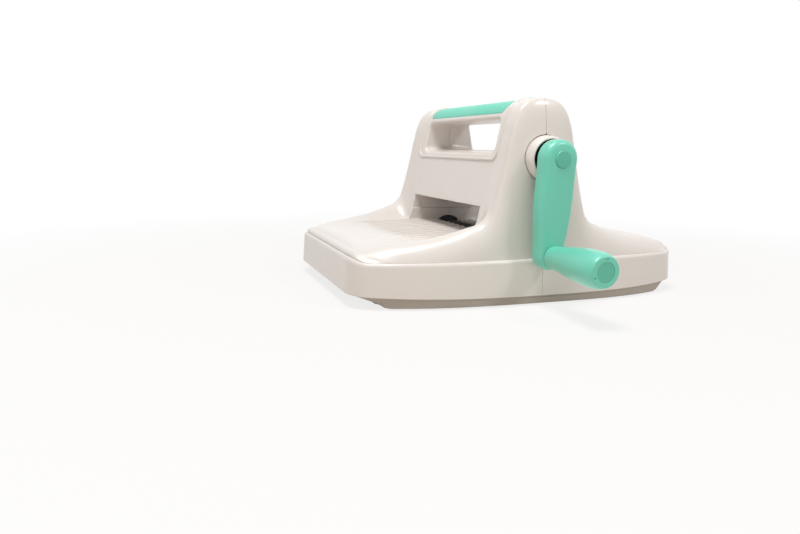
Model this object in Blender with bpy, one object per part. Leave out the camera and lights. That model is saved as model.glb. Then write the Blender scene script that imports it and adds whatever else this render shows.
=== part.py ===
"""Hand cranked die cutting machine: two half shells over a steel roller frame.

Metres, +Z up. X runs along the crank shaft with the crank at +X, Y is the feed
direction with the front tray at -Y. The forms are laid out about the middle of
the body, and main() then sets the origin on the table under the middle of the
whole machine, crank included.
"""
import math

import bmesh
import bpy
from mathutils import Matrix, Vector
from mathutils.bvhtree import BVHTree

# Body outline
body_length = 0.3566
body_width = 0.2680
end_width = 0.2100
end_corner = 0.0170
body_height = 0.1913
side_taper_power = 3.2
shoulder_power = 2.0
shoulder_power_gain = 0.3

# Skirt, ledge and shell wall
skirt_bottom = 0.0092
skirt_end_rise = 0.0030
ridge_end_height = 0.0418
ridge_middle_height = 0.0444
skirt_draft = 0.0015
ledge_width = 0.0034
ledge_rise = 0.0022
ledge_drop = 0.0008
ledge_round = 0.0012
wall = 0.0030
seam_gap = 0.0003

# Tower and fenders
crest_inset = 0.0200
arch_inset = 0.0120
fender_slope = 0.0340
tray_side = 0.0460

# Feed mouth
feed_floor = 0.0578
mouth_side = 0.0480
mouth_ledge = 0.0012
mouth_ledge_height = 0.0142
mouth_top_margin = 0.0087
mouth_wall = 0.0024

# Tray ribs
rib_count = 12
rib_pitch = 0.0136
rib_width = 0.0034
rib_height = 0.0011
rib_top_share = 0.6
rib_start = 0.0180
rib_end = 0.1120
rib_end_bow = 0.0140
rib_end_skew = 0.0070

# Carry handle
handle_floor = 0.1400
handle_beam = 0.0160
handle_floor_crown = 0.0030
handle_top_crown = 0.0045
handle_corner = 0.0045
handle_wall = 0.0026
strip_side = 0.0435
strip_half_depth = 0.0235
strip_thickness = 0.0030
strip_drop = 0.0141
strip_corner = 0.0070
bead_side = 0.0365
bead_drop = 0.0055
bead_radius = 0.0015
bead_corner = 0.0080

# Rollers
roller_radius = 0.0150
roller_gap = 0.0225
roller_reveal = 0.0007
roller_end_gap = 0.0002
journal_radius = 0.0060
flat_share = 0.80
roller_chamfer = 0.0010

# Frame
plate_side_gap = 0.0050
plate_thickness = 0.0030
plate_foot_half_depth = 0.0400
plate_waist_half_depth = 0.0300
plate_head_radius = 0.0260
plate_head_drop = 0.0080
plate_flange = 0.0200
plate_shoulder_turn = 0.25
tie_rod_radius = 0.0050
tie_spigot_radius = 0.0030
tie_spigot_proud = 0.0015
low_tie_depth = 0.0270
low_tie_drop = 0.0200
high_tie_depth = 0.0190
high_tie_rise = 0.0255

# Bearings
bush_wall = 0.0035
lower_flange_radius = 0.0195
upper_flange_radius = 0.0125
bush_clearance = 0.0003
running_gap = 0.0003
seat_gap = 0.0003

# Gears
gear_module = 0.0015
sync_module = 0.00175
drive_teeth = 41
pinion_teeth = 13
sync_teeth = 30
pressure_angle = math.radians(20)
pinion_shift = 0.235
gear_backlash = 0.00045
gear_width = 0.0100
gear_offset = 0.0030
hub_width = 0.0020
hub_wall = 0.0040
ring_width = 0.0012
ring_reach = 0.0030
ring_opening = math.radians(60)

# Crank shaft and its bearings
crank_shaft_radius = 0.0060
crank_bush_flange_radius = 0.0095
bracket_gap = 0.0020
bracket_thickness = 0.0025
bracket_post_depth = 0.0215
bracket_post_drop = 0.0045
bracket_post_radius = 0.0035
bracket_end_radius = 0.0060
bracket_middle_radius = 0.0135
bracket_arc_share = 0.4
bracket_flange = 0.0015

# Collar
collar_radius = 0.0210
collar_proud = 0.0040
collar_height = 0.0175
collar_round = 0.0020
collar_lip = 0.0040
collar_recess = 0.0015
collar_spigot_radius = 0.0130
collar_spigot_length = 0.0045
collar_pad = 0.0042
collar_boss_radius = 0.0240

# Crank
crank_length = 0.0872
crank_hang = math.radians(-2.8)
arm_gap = 0.0030
arm_thickness = 0.0160
arm_head_radius = 0.0172
arm_end_radius = 0.0128
arm_edge_round = 0.0045
arm_back_round = 0.0015
arm_neck_radius = 0.0120
cap_radius = 0.0080
cap_proud = 0.0016
cap_thickness = 0.0036
cap_round = 0.0008
crank_screw_head_radius = 0.0060
crank_screw_head_height = 0.0035
crank_screw_radius = 0.0025
crank_screw_length = 0.0120

# Grip
grip_length = 0.0750
grip_neck_radius = 0.0103
grip_belly_radius = 0.0158
grip_end_radius = 0.0122
grip_belly_share = 0.80
grip_flare_power = 1.4
grip_pin_radius = 0.0040
grip_pin_head_radius = 0.0068
grip_pin_head_height = 0.0030
grip_pin_seat = 0.0100
grip_cap_radius = 0.0103
grip_cap_thickness = 0.0030
grip_cap_recess = 0.0004
pit_radius = 0.0009
pit_depth = 0.0008
pit_offset = 0.0086
pit_turns = (math.radians(90), math.radians(207))

# Base pan, feet and screws
foot_radius = 0.0090
foot_proud = 0.0015
foot_recess = 0.0014
pan_floor = 0.0028
pan_wall = 0.0022
pan_wall_rise = 0.0050
pan_end_inset = 0.0020
pan_end_rake = 0.0160
pad_radius = 0.0065
pad_rise = 0.0040
post_radius = 0.0046
screw_radius = 0.0015
screw_head_radius = 0.0032
screw_head_height = 0.0020
screw_reach = 0.0060
screw_recess = 0.0028
shell_screw_side = 0.0580
shell_screw_end = 0.0523
frame_screw_reach = 0.0103
frame_screw_y = 0.0300
foot_side = 0.0480
foot_end = 0.0360

overrun = 0.0100

# Fineness of round forms
fine_segments = 24
round_segments = 16
small_segments = 8
bead_segments = 6
section_steps = 3
rib_steps = 4
gear_flank_steps = 1
grip_steps = 6
bead_turn_steps = 4
bead_straight_steps = 3

# Places on the body's outline: 0-1 along the front, 1-2 round the corner, 2-3 up the side
flat_end_turn = 0.82
slope_end_turn = 1.12
corner_turn = 1.5
side_turn = 3.0
turn_step = 0.01

# Rows of the housing from the tray's front edge to the seam, chosen by hand.
# Depths are shares of the half length. Crest heights are shares of the body height.
# The middle is a share of the feed floor's height up to the tower, then of what is left.
crest_depth_share = (
    0.958, 0.902, 0.810, 0.675, 0.516, 0.3925, 0.3310, 0.2890, 0.2690,
    0.2425, 0.2140, 0.1895, 0.1645, 0.1380, 0.0980, 0.0490, 0.0,
)
crest_height_share = (
    0.2540, 0.2760, 0.2950, 0.3130, 0.3420, 0.3780, 0.4000, 0.4420, 0.4915,
    0.5855, 0.7005, 0.8105, 0.8940, 0.9440, 0.9790, 0.9952, 1.0,
)
centre_depth_share = (
    0.972, 0.915, 0.820, 0.680, 0.510, 0.370, 0.312, 0.2850, 0.2720,
    0.2460, 0.2110, 0.1690, 0.1400, 0.1190, 0.0860, 0.0430, 0.0,
)
tray_height_share = (
    0.8079, 0.8113, 0.8146, 0.8377, 0.9106, 0.9801, 1.0, 1.0, 1.0,
    1.0, 1.0, 1.0, 1.0, 1.0, 1.0, 1.0, 1.0,
)
face_height_share = (
    0.0, 0.0, 0.0, 0.0, 0.0, 0.0, 0.0, 0.0256, 0.0829,
    0.2391, 0.4440, 0.7120, 0.8782, 0.9355, 0.9756, 0.9943, 1.0,
)
rim_depth_share = (
    0.905, 0.860, 0.780, 0.650, 0.495, 0.375, 0.315, 0.268, 0.232,
    0.190, 0.148, 0.112, 0.085, 0.062, 0.040, 0.019, 0.0,
)
arch_blend_share = (
    0.0, 0.0, 0.0, 0.05, 0.2, 0.55, 0.75, 0.9, 1.0,
    1.0, 1.0, 1.0, 1.0, 1.0, 1.0, 1.0, 1.0,
)
crown_depth_share = (1.0, 0.75, 0.45, 0.0)
flat_columns_share = (0.0, 0.5, 1.0)
slope_columns_share = (0.3, 0.65, 1.0)
side_columns_share = (0.16, 0.33, 0.53, 0.75, 1.0)

# Sizes that follow from the ones above
row_count = len(crest_depth_share)
column_count = len(flat_columns_share) + len(slope_columns_share) + len(side_columns_share)
half_length = body_length / 2
half_width = body_width / 2
tray_half_width = half_width - tray_side
mouth_half_width = half_width - mouth_side
roller_half_length = mouth_half_width + roller_end_gap
plate_inner = roller_half_length + plate_side_gap
handle_half_width = plate_inner - handle_wall - 2 * seat_gap
handle_top = body_height - handle_beam
strip_half_length = half_width - strip_side
strip_bottom = body_height - strip_drop
bead_half_width = half_width - bead_side
bead_bottom = handle_floor - bead_drop
lower_roller_z = feed_floor + roller_reveal - roller_radius
upper_roller_z = lower_roller_z + 2 * roller_radius + roller_gap
mouth_top = upper_roller_z - roller_radius + mouth_top_margin
crank_z = upper_roller_z + gear_module * (drive_teeth + pinion_teeth) / 2
low_tie_height = lower_roller_z - low_tie_drop
high_tie_height = upper_roller_z + high_tie_rise
plate_outer = plate_inner + plate_thickness
gear_inner = plate_outer + gear_offset
gear_outer = gear_inner + gear_width
journal_end = gear_outer + hub_width + 2 * ring_width + running_gap
bracket_inner = gear_outer + bracket_gap
bracket_outer = bracket_inner + bracket_thickness
pan_bottom = foot_proud
pan_floor_top = pan_bottom + pan_floor
pan_top = skirt_bottom + pan_wall_rise
pan_inset = wall + seat_gap
pad_top = pan_floor_top + pad_rise
collar_face = half_width + collar_proud
collar_seat = collar_face - collar_height
arm_inner = collar_face + arm_gap
arm_outer = arm_inner + arm_thickness
shell_screw_x = half_width - shell_screw_side
shell_screw_y = half_length - shell_screw_end
frame_screw_x = plate_outer + frame_screw_reach
foot_x = half_width - foot_side
foot_y = half_length - foot_end
grip_start = arm_outer + running_gap
grip_tip = grip_start + grip_length
machine_middle = (grip_tip - half_width - skirt_draft) / 2


def material(name, colour, roughness, metallic=0.0):
    """A Principled material in one colour."""
    made = bpy.data.materials.new(name)
    made.use_nodes = True
    shader = made.node_tree.nodes["Principled BSDF"]
    shader.inputs["Base Color"].default_value = (*colour, 1.0)
    shader.inputs["Roughness"].default_value = roughness
    shader.inputs["Metallic"].default_value = metallic
    return made


def clear_scene():
    for old in list(bpy.data.objects):
        bpy.data.objects.remove(old, do_unlink=True)


def make_object(name, mesh_data, surface=None, parent=None):
    """Link a bmesh as a named object."""
    mesh = bpy.data.meshes.new(name)
    bmesh.ops.recalc_face_normals(mesh_data, faces=mesh_data.faces)
    mesh_data.to_mesh(mesh)
    mesh_data.free()
    mesh.shade_smooth()
    mesh.set_sharp_from_angle(angle=math.radians(32))
    if surface is not None:
        mesh.materials.append(surface)
    made = bpy.data.objects.new(name, mesh)
    bpy.context.scene.collection.objects.link(made)
    made.parent = parent
    return made


def boolean(target, cutter, operation):
    """Apply one exact Boolean, in the target's own frame, and drop its tool."""
    cutter.parent = target.parent
    step = target.modifiers.new(operation.lower(), "BOOLEAN")
    step.operation = operation
    step.solver = "EXACT"
    step.object = cutter
    bpy.context.view_layer.update()
    graph = bpy.context.evaluated_depsgraph_get()
    result = bpy.data.meshes.new_from_object(target.evaluated_get(graph))
    target.modifiers.clear()
    old = target.data
    result.name = old.name
    target.data = result
    bpy.data.meshes.remove(old)
    bpy.data.objects.remove(cutter, do_unlink=True)
    target.data.shade_smooth()
    target.data.set_sharp_from_angle(angle=math.radians(32))


def tool(mesh_data):
    """A hidden cutter or filler from a bmesh."""
    made = make_object("tool", mesh_data)
    made.hide_render = True
    made.display_type = "WIRE"
    return made


def cut(target, mesh_data):
    boolean(target, tool(mesh_data), "DIFFERENCE")


def fuse(target, mesh_data):
    boolean(target, tool(mesh_data), "UNION")


def intersect(target, mesh_data):
    boolean(target, tool(mesh_data), "INTERSECT")


def bridge(mesh_data, rings, closed_ends=True, closed_rings=True):
    """Skin a list of equal rings of points into one solid."""
    made = [[mesh_data.verts.new(point) for point in ring] for ring in rings]
    count = len(made[0])
    span = count if closed_rings else count - 1
    for low, high in zip(made, made[1:]):
        for index in range(span):
            after = (index + 1) % count
            mesh_data.faces.new((low[index], low[after], high[after], high[index]))
    if closed_ends:
        mesh_data.faces.new(made[0])
        mesh_data.faces.new(made[-1])
    return made


def on_side(profile, side):
    """The (x, radius) points of a right hand profile, or their mirror image at -X."""
    placed = [(side * along, radius) for along, radius in profile]
    return placed if side > 0 else placed[::-1]


def turned(profile, segments=round_segments, centre=(0.0, 0.0)):
    """Revolve (x, radius) points round an X axis at the given y and z."""
    mesh_data = bmesh.new()
    rings = []
    for along, radius in profile:
        ring = []
        for index in range(segments):
            turn = 2 * math.pi * index / segments
            ring.append((along, centre[0] + radius * math.cos(turn),
                         centre[1] + radius * math.sin(turn)))
        rings.append(ring)
    bridge(mesh_data, rings)
    return mesh_data


def turned_with_bore(profile, bore, segments=round_segments, centre=(0.0, 0.0)):
    """A turned solid with a straight bore."""
    mesh_data = bmesh.new()
    around = [(profile[0][0], bore), *profile, (profile[-1][0], bore)]
    rings = []
    for along, radius in around:
        ring = []
        for index in range(segments):
            turn = 2 * math.pi * index / segments
            ring.append((along, centre[0] + radius * math.cos(turn),
                         centre[1] + radius * math.sin(turn)))
        rings.append(ring)
    made = bridge(mesh_data, rings, closed_ends=False)
    first = made[0]
    last = made[-1]
    for index in range(segments):
        after = (index + 1) % segments
        mesh_data.faces.new((last[index], last[after], first[after], first[index]))
    return mesh_data


def prism_x(outline, start, end):
    """Extrude (y, z) points along X."""
    mesh_data = bmesh.new()
    bridge(mesh_data, [[(along, y, z) for y, z in outline] for along in (start, end)])
    return mesh_data


def prism_y(outline, start, end):
    """Extrude (x, z) points along Y."""
    mesh_data = bmesh.new()
    bridge(mesh_data, [[(x, along, z) for x, z in outline] for along in (start, end)])
    return mesh_data


def cylinder_z(centre, radius, bottom, top, segments=small_segments):
    mesh_data = bmesh.new()
    rings = []
    for height in (bottom, top):
        rings.append([(centre[0] + radius * math.cos(2 * math.pi * index / segments),
                       centre[1] + radius * math.sin(2 * math.pi * index / segments), height)
                      for index in range(segments)])
    bridge(mesh_data, rings)
    return mesh_data


def box(low, high):
    mesh_data = bmesh.new()
    rings = []
    for height in (low[2], high[2]):
        rings.append([(low[0], low[1], height), (high[0], low[1], height),
                      (high[0], high[1], height), (low[0], high[1], height)])
    bridge(mesh_data, rings)
    return mesh_data


def arc(centre, radius, start, end, steps):
    """Points on an arc, from one angle to another."""
    points = []
    for index in range(steps + 1):
        turn = start + (end - start) * index / steps
        points.append((centre[0] + radius * math.cos(turn), centre[1] + radius * math.sin(turn)))
    return points


def rounded_rectangle(half_w, low, high, corner, steps=3):
    """Outline of a rectangle about x = 0 with round corners."""
    quarter = math.pi / 2
    points = arc((half_w - corner, high - corner), corner, 0, quarter, steps)
    points += arc((corner - half_w, high - corner), corner, quarter, 2 * quarter, steps)
    points += arc((corner - half_w, low + corner), corner, 2 * quarter, 3 * quarter, steps)
    points += arc((half_w - corner, low + corner), corner, 3 * quarter, 4 * quarter, steps)
    return points


def side_half_width(depth):
    """Half width of the ridge outline at a depth from the seam, before the corner."""
    share = min(abs(depth) / half_length, 1.0)
    return half_width - (half_width - end_width / 2) * share ** side_taper_power


def outline_point(turn):
    """Ridge outline of the front right quarter: 0-1 front, 1-2 corner, 2-3 side."""
    corner = Vector((end_width / 2, -half_length))
    front_end = corner - Vector((end_corner, 0))
    side_start_y = end_corner - half_length
    side_start = Vector((side_half_width(side_start_y), side_start_y))
    if turn <= 1:
        return Vector((front_end.x * turn, -half_length))
    if turn <= 2:
        part = turn - 1
        return (front_end * (1 - part) ** 2 + corner * 2 * part * (1 - part)
                + side_start * part ** 2)
    depth = side_start_y * (side_turn - turn)
    return Vector((side_half_width(depth), depth))


def outline_normal(turn):
    """Outward normal of the ridge outline, from its neighbours on both sides."""
    if turn < turn_step:
        return Vector((0, -1))
    if turn > side_turn - turn_step:
        return Vector((1, 0))
    run = outline_point(turn + turn_step) - outline_point(turn - turn_step)
    return Vector((run.y, -run.x)).normalized()


def ring_point(turn, inset, height):
    """Point on the outline moved inwards by inset."""
    flat = outline_point(turn) - outline_normal(turn) * inset
    if turn >= side_turn:
        flat.y = 0
    if turn <= 0:
        flat.x = 0
    return Vector((flat.x, flat.y, height))


def ridge_height(depth):
    share = abs(depth) / half_length
    return ridge_middle_height + (ridge_end_height - ridge_middle_height) * share


def skirt_height(depth):
    """Height of the skirt's lower edge, which rises towards both ends."""
    return skirt_bottom + skirt_end_rise * (depth / half_length) ** 2


def column_turn(index):
    """Outline position of a column on the housing's front edge."""
    flat = len(flat_columns_share) - 1
    slope = len(slope_columns_share)
    side = len(side_columns_share)
    if index <= flat:
        return flat_end_turn * index / flat
    if index <= flat + slope:
        return flat_end_turn + (slope_end_turn - flat_end_turn) * (index - flat) / slope
    return slope_end_turn + (corner_turn - slope_end_turn) * (index - flat - slope) / side


def rim_turn(row):
    """Outline position of a row on the housing's side edge, from its depth."""
    if row == 0:
        return corner_turn
    if row == row_count - 1:
        return side_turn
    depth = half_length * rim_depth_share[row]
    low = corner_turn
    high = side_turn
    while high - low > turn_step * turn_step:
        middle = (low + high) / 2
        if -outline_point(middle).y > depth:
            low = middle
        else:
            high = middle
    return low


def row_section(row):
    """Points of one row from the middle of the body out to its edge."""
    crest_y = -half_length * crest_depth_share[row]
    crest_z = body_height * crest_height_share[row]
    centre_y = -half_length * centre_depth_share[row]
    centre_z = (feed_floor * tray_height_share[row]
                + (body_height - feed_floor) * face_height_share[row])
    blend = arch_blend_share[row]
    edge = ring_point(rim_turn(row), ledge_width, 0)
    edge.z = ridge_height(edge.y) + ledge_rise
    crest_x = edge.x - (crest_inset + (arch_inset - crest_inset) * blend)
    flat_x = min(tray_half_width, crest_x - fender_slope * (1 - blend))
    points = []
    for share in flat_columns_share:
        points.append(Vector((flat_x * share, centre_y, centre_z)))
    for share in slope_columns_share:
        smooth = share * share * (3 - 2 * share)
        points.append(Vector((flat_x + (crest_x - flat_x) * share,
                              centre_y + (crest_y - centre_y) * smooth,
                              centre_z + (crest_z - centre_z) * smooth)))
    power = shoulder_power + shoulder_power_gain * blend
    for share in side_columns_share:
        turn = share * math.pi / 2
        across = math.sin(turn) ** (2 / power)
        down = 1 - math.cos(turn) ** (2 / power)
        points.append(Vector((crest_x + (edge.x - crest_x) * across,
                              crest_y + (edge.y - crest_y) * share ** (1 + blend / 2),
                              crest_z + (edge.z - crest_z) * down)))
    return points


def front_section():
    """Points of the first row, along the front edge to the middle of the corner."""
    points = []
    for index in range(column_count):
        point = ring_point(column_turn(index), ledge_width, 0)
        point.z = ridge_height(point.y) + ledge_rise
        points.append(point)
    return points


def housing_grid():
    """Upper surface of the front half, full width, rows from the front to the seam."""
    grid = []
    for row in range(row_count):
        right = row_section(row) if row else front_section()
        if row == row_count - 1:
            for point in right:
                point.y = -seam_gap / 2
        left = [Vector((-point.x, point.y, point.z)) for point in reversed(right[1:])]
        grid.append(left + right)
    return grid


def perimeter_turns():
    """Outline positions of the housing's edge points on the right, middle to seam."""
    turns = [column_turn(index) for index in range(column_count)]
    return turns + [rim_turn(row) for row in range(1, row_count)]


def thinned(points):
    """Every second entry of an odd list, both ends kept."""
    return points[::2]


def edge_ring(inset, height, level):
    """Open ring round the front half, left seam to right seam, over a level that varies."""
    right = []
    for turn in perimeter_turns():
        point = ring_point(turn, inset, height)
        point.z += level(point.y)
        if turn >= side_turn:
            point.y = -seam_gap / 2
        right.append(point)
    left = [Vector((-point.x, point.y, point.z)) for point in reversed(right[1:])]
    return left + right


def surface_normals(grid):
    """Unit normals of the upper surface, pointing out of the body."""
    rows = len(grid)
    columns = len(grid[0])
    normals = []
    for row in range(rows):
        line = []
        for column in range(columns):
            across = grid[row][min(column + 1, columns - 1)] - grid[row][max(column - 1, 0)]
            along = grid[min(row + 1, rows - 1)][column] - grid[max(row - 1, 0)][column]
            line.append(across.cross(along).normalized())
        normals.append(line)
    return normals


def inner_grid(grid):
    """The upper surface moved in by the wall, with half the rows and columns."""
    normals = surface_normals(grid)
    rows = len(grid)
    columns = len(grid[0])
    result = []
    for row in range(rows):
        line = []
        for column in range(columns):
            point = grid[row][column] - normals[row][column] * wall
            if row == rows - 1:
                point.y = -seam_gap / 2
            line.append(point)
        result.append(line)
    edge = edge_ring(ledge_width + wall, ledge_rise - wall, ridge_height)
    for index, point in enumerate(edge):
        row, column = edge_cell(index, rows, columns)
        result[row][column] = point
    return thinned([thinned(line) for line in result])


def edge_cell(index, rows, columns):
    """Row and column of an edge ring's point in the grid."""
    if index < rows:
        return rows - 1 - index, 0
    if index < rows + columns - 1:
        return 0, index - rows + 1
    return index - (rows + columns - 2), columns - 1


def add_grid(mesh_data, grid):
    made = [[mesh_data.verts.new(point) for point in line] for line in grid]
    for low, high in zip(made, made[1:]):
        for index in range(len(low) - 1):
            mesh_data.faces.new((low[index], low[index + 1], high[index + 1], high[index]))
    return made


def add_skirt(mesh_data, verts, rings):
    """Skin from the grid's edge down through rings of points, and return the last."""
    rows = len(verts)
    columns = len(verts[0])
    count = 2 * rows + columns - 2
    cells = [edge_cell(index, rows, columns) for index in range(count)]
    above = [verts[row][column] for row, column in cells]
    seam_edges = [[above[0]], [above[-1]]]
    for ring in rings:
        below = [mesh_data.verts.new(point) for point in ring]
        for index in range(count - 1):
            mesh_data.faces.new((above[index], above[index + 1], below[index + 1], below[index]))
        seam_edges[0].append(below[0])
        seam_edges[1].append(below[-1])
        above = below
    return above, seam_edges


def shell_skin():
    """Front half of the housing as one thin walled closed mesh."""
    grid = housing_grid()
    mesh_data = bmesh.new()
    outer = add_grid(mesh_data, grid)
    inner = add_grid(mesh_data, inner_grid(grid))
    outer_bottom, outer_seams = add_skirt(mesh_data, outer, [
        edge_ring(ledge_width, -ledge_drop, ridge_height),
        edge_ring(ledge_round, 0, ridge_height),
        edge_ring(0, -ledge_round, ridge_height),
        edge_ring(-skirt_draft, 0, skirt_height),
    ])
    inner_bottom, inner_seams = add_skirt(mesh_data, inner, [
        thinned(edge_ring(wall, -wall - ledge_round, ridge_height)),
        thinned(edge_ring(wall, 0, skirt_height)),
    ])
    zip_lines(mesh_data, outer_bottom, inner_bottom)
    seam_outer = outer_seams[0][::-1] + list(outer[-1][1:-1]) + outer_seams[1]
    seam_inner = inner_seams[0][::-1] + list(inner[-1][1:-1]) + inner_seams[1]
    zip_lines(mesh_data, seam_outer, seam_inner)
    bmesh.ops.triangulate(mesh_data, faces=[face for face in mesh_data.faces if len(face.verts) > 4])
    return mesh_data


def zip_lines(mesh_data, outer, inner):
    """Strip of triangles between two lines of points with different counts."""
    step_out = 0
    step_in = 0
    while step_out < len(outer) - 1 or step_in < len(inner) - 1:
        ahead_out = step_out < len(outer) - 1
        ahead_in = step_in < len(inner) - 1
        if ahead_out and ahead_in:
            far = (outer[step_out + 1].co - inner[step_in].co).length
            near = (inner[step_in + 1].co - outer[step_out].co).length
            take_out = far <= near
        else:
            take_out = ahead_out
        if take_out:
            mesh_data.faces.new((outer[step_out], outer[step_out + 1], inner[step_in]))
            step_out += 1
        else:
            mesh_data.faces.new((inner[step_in], inner[step_in + 1], outer[step_out]))
            step_in += 1


def outer_surface():
    """Search tree of the housing's outer surface, to seat ribs, beads and posts."""
    mesh_data = bmesh.new()
    add_grid(mesh_data, housing_grid())
    tree = BVHTree.FromBMesh(mesh_data)
    mesh_data.free()
    return tree


def surface_height(tree, x, y):
    """Height of the outer surface over a point of the plan."""
    hit = tree.ray_cast(Vector((x, y, 2 * body_height)), Vector((0, 0, -1)))
    return hit[0].z


def surface_side(tree, y, z):
    """X of the right wall at a depth and height."""
    hit = tree.ray_cast(Vector((body_width, y, z)), Vector((-1, 0, 0)))
    return hit[0].x


def collar_boss(tree):
    """Thick round patch inside the wall behind the collar's pocket, front half."""
    quarter = math.pi / 2
    outline = arc((-seam_gap / 2, crank_z), collar_boss_radius, quarter, 3 * quarter,
                  small_segments)
    end = min(surface_side(tree, y, z) for y, z in outline) - wall / 2
    return prism_x(outline, collar_seat - collar_pad, end)


def side_profile(inset):
    """Centre profile of the tower from its foot to the seam, moved in by inset."""
    grid = housing_grid()
    middle = len(grid[0]) // 2
    points = [line[middle] for line in grid]
    moved = []
    for index in range(1, len(points)):
        before = points[index - 1]
        after = points[min(index + 1, len(points) - 1)]
        run = (after - before).normalized()
        normal = Vector((0, -run.z, run.y))
        if index == len(points) - 1:
            normal = Vector((0, 0, 1))
        point = points[index] - normal * inset
        moved.append((min(point.y, -seam_gap / 2), point.z))
    return moved


def handle_block():
    """Solid bar and end walls round the carry handle opening, front half."""
    bottom = handle_floor - handle_wall
    profile = [point for point in side_profile(wall / 2) if point[1] > bottom + handle_wall]
    start_y = profile[0][0] - (profile[0][1] - bottom) * face_slope()
    outline = [(start_y, bottom)] + profile + [(-seam_gap / 2, bottom)]
    return prism_x(outline, -handle_half_width - handle_wall, handle_half_width + handle_wall)


def face_slope():
    """Depth that the tower's face loses for each unit of height."""
    profile = [point for point in side_profile(0) if mouth_top < point[1] < handle_top]
    return (profile[-1][0] - profile[0][0]) / (profile[-1][1] - profile[0][1])


def handle_section(depth):
    """Outline of the carry opening at a depth, crowned towards the seam."""
    face = handle_floor_depth()
    share = max(0.0, 1 - (depth / face) ** 2)
    low = handle_floor + handle_floor_crown * share
    high = handle_top - handle_top_crown * share
    return rounded_rectangle(handle_half_width, low, high, min(handle_corner, (high - low) / 3))


def handle_floor_depth():
    """Depth of the tower's face at the carry opening's floor."""
    profile = side_profile(0)
    nearest = min(profile, key=lambda point: abs(point[1] - handle_floor))
    return abs(nearest[0])


def handle_cutter():
    """Carry opening from in front of the face to past the seam."""
    face = handle_floor_depth()
    mesh_data = bmesh.new()
    rings = []
    depths = [face + overrun] + [face * share for share in crown_depth_share] + [-overrun]
    for depth in depths:
        section = handle_section(max(depth, 0))
        rings.append([(x, -depth, z) for x, z in section])
    bridge(mesh_data, rings)
    return mesh_data


def strip_solid(top_inset, bottom_inset, shrink):
    """Band that follows the crown over the full depth of the handle."""
    def line(inset):
        front = side_profile(inset)
        kept = [point for point in front if point[0] > shrink - strip_half_depth]
        cut_index = len(front) - len(kept)
        low = front[cut_index - 1]
        high = kept[0]
        share = (shrink - strip_half_depth - low[0]) / (high[0] - low[0])
        edge = (shrink - strip_half_depth, low[1] + (high[1] - low[1]) * share)
        half = [edge] + kept[:-1]
        crown = (0.0, front[-1][1])
        return half + [crown] + [(-y, z) for y, z in reversed(half)]
    top = line(top_inset)
    bottom = line(bottom_inset)
    return prism_x(top + bottom[::-1], -strip_half_length + shrink, strip_half_length - shrink)


def strip_plan(shrink):
    """Upright prism with the strip's round plan corners, from its lower edge up."""
    outline = rounded_rectangle(strip_half_length - shrink, shrink - strip_half_depth,
                                strip_half_depth - shrink, strip_corner - shrink)
    mesh_data = bmesh.new()
    bridge(mesh_data, [[(x, y, height) for x, y in outline]
                       for height in (strip_bottom + shrink, body_height + overrun)])
    return mesh_data


def rib_mesh(tree, x):
    """One tray rib, following the floor and fading out towards the front."""
    share = abs(x) / (rib_pitch * rib_count / 2)
    end = rib_end - rib_end_bow * share ** 2 + rib_end_skew * x / tray_half_width
    rings = []
    for index in range(rib_steps + 1):
        depth = rib_start + (end - rib_start) * index / rib_steps
        floor = feed_floor
        if depth > half_length * centre_depth_share[6]:
            floor = surface_height(tree, x, -depth)
        rise = rib_height * min(1.0, 2 * (1 - index / rib_steps))
        top = min(floor, feed_floor) + rise
        base = min(floor, feed_floor) - mouth_wall / 2
        half = rib_width / 2
        rings.append([(x - half, -depth, base), (x + half, -depth, base),
                      (x + half * rib_top_share, -depth, top),
                      (x - half * rib_top_share, -depth, top)])
    mesh_data = bmesh.new()
    bridge(mesh_data, rings)
    return mesh_data


def mouth_block():
    """Floor, jambs and ceiling that line the mouth, up to the roller slot."""
    bottom = feed_floor - mouth_wall
    top = mouth_top + mouth_wall
    profile = [point for point in side_profile(wall / 2) if bottom < point[1] < top]
    profile = [point for point in profile if point[1] > feed_floor + mouth_wall]
    slope = face_slope()
    foot_y = profile[0][0] - (profile[0][1] - bottom) * slope - wall
    head_y = profile[-1][0] + (top - profile[-1][1]) * slope
    outline = [(foot_y, bottom)] + profile + [(head_y, top)]
    outline += [(-mouth_ceiling_depth(), top), (-mouth_ceiling_depth(), mouth_top - mouth_wall),
                (-mouth_floor_depth(), mouth_top - 2 * mouth_wall), (-mouth_floor_depth(), bottom)]
    return prism_x(outline, -mouth_half_width - mouth_wall, mouth_half_width + mouth_wall)


def jamb_block(side):
    """Side wall of the mouth between its front and the seam, open round both rollers."""
    depth = mouth_ceiling_depth() + mouth_wall
    outline = [(-depth, feed_floor - mouth_wall), (-seam_gap / 2, feed_floor - mouth_wall),
               (-seam_gap / 2, mouth_top + mouth_wall), (-depth, mouth_top + mouth_wall)]
    start, end = sorted((side * (mouth_half_width - mouth_ledge),
                         side * (mouth_half_width + mouth_wall)))
    jamb = tool(prism_x(outline, start, end))
    for height, radius in ((lower_roller_z, lower_flange_radius), (upper_roller_z, roller_radius)):
        reach = radius + 2 * bush_clearance
        cut(jamb, turned([(start - overrun, reach), (end + overrun, reach)], fine_segments,
                         (0.0, height)))
    return jamb


def mouth_floor_depth():
    """Half width of the slot that the lower roller shows through."""
    drop = feed_floor - mouth_wall - lower_roller_z
    return math.sqrt(roller_radius ** 2 - drop ** 2) + 2 * roller_reveal + mouth_wall


def mouth_ceiling_depth():
    return roller_radius + mouth_wall


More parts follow.
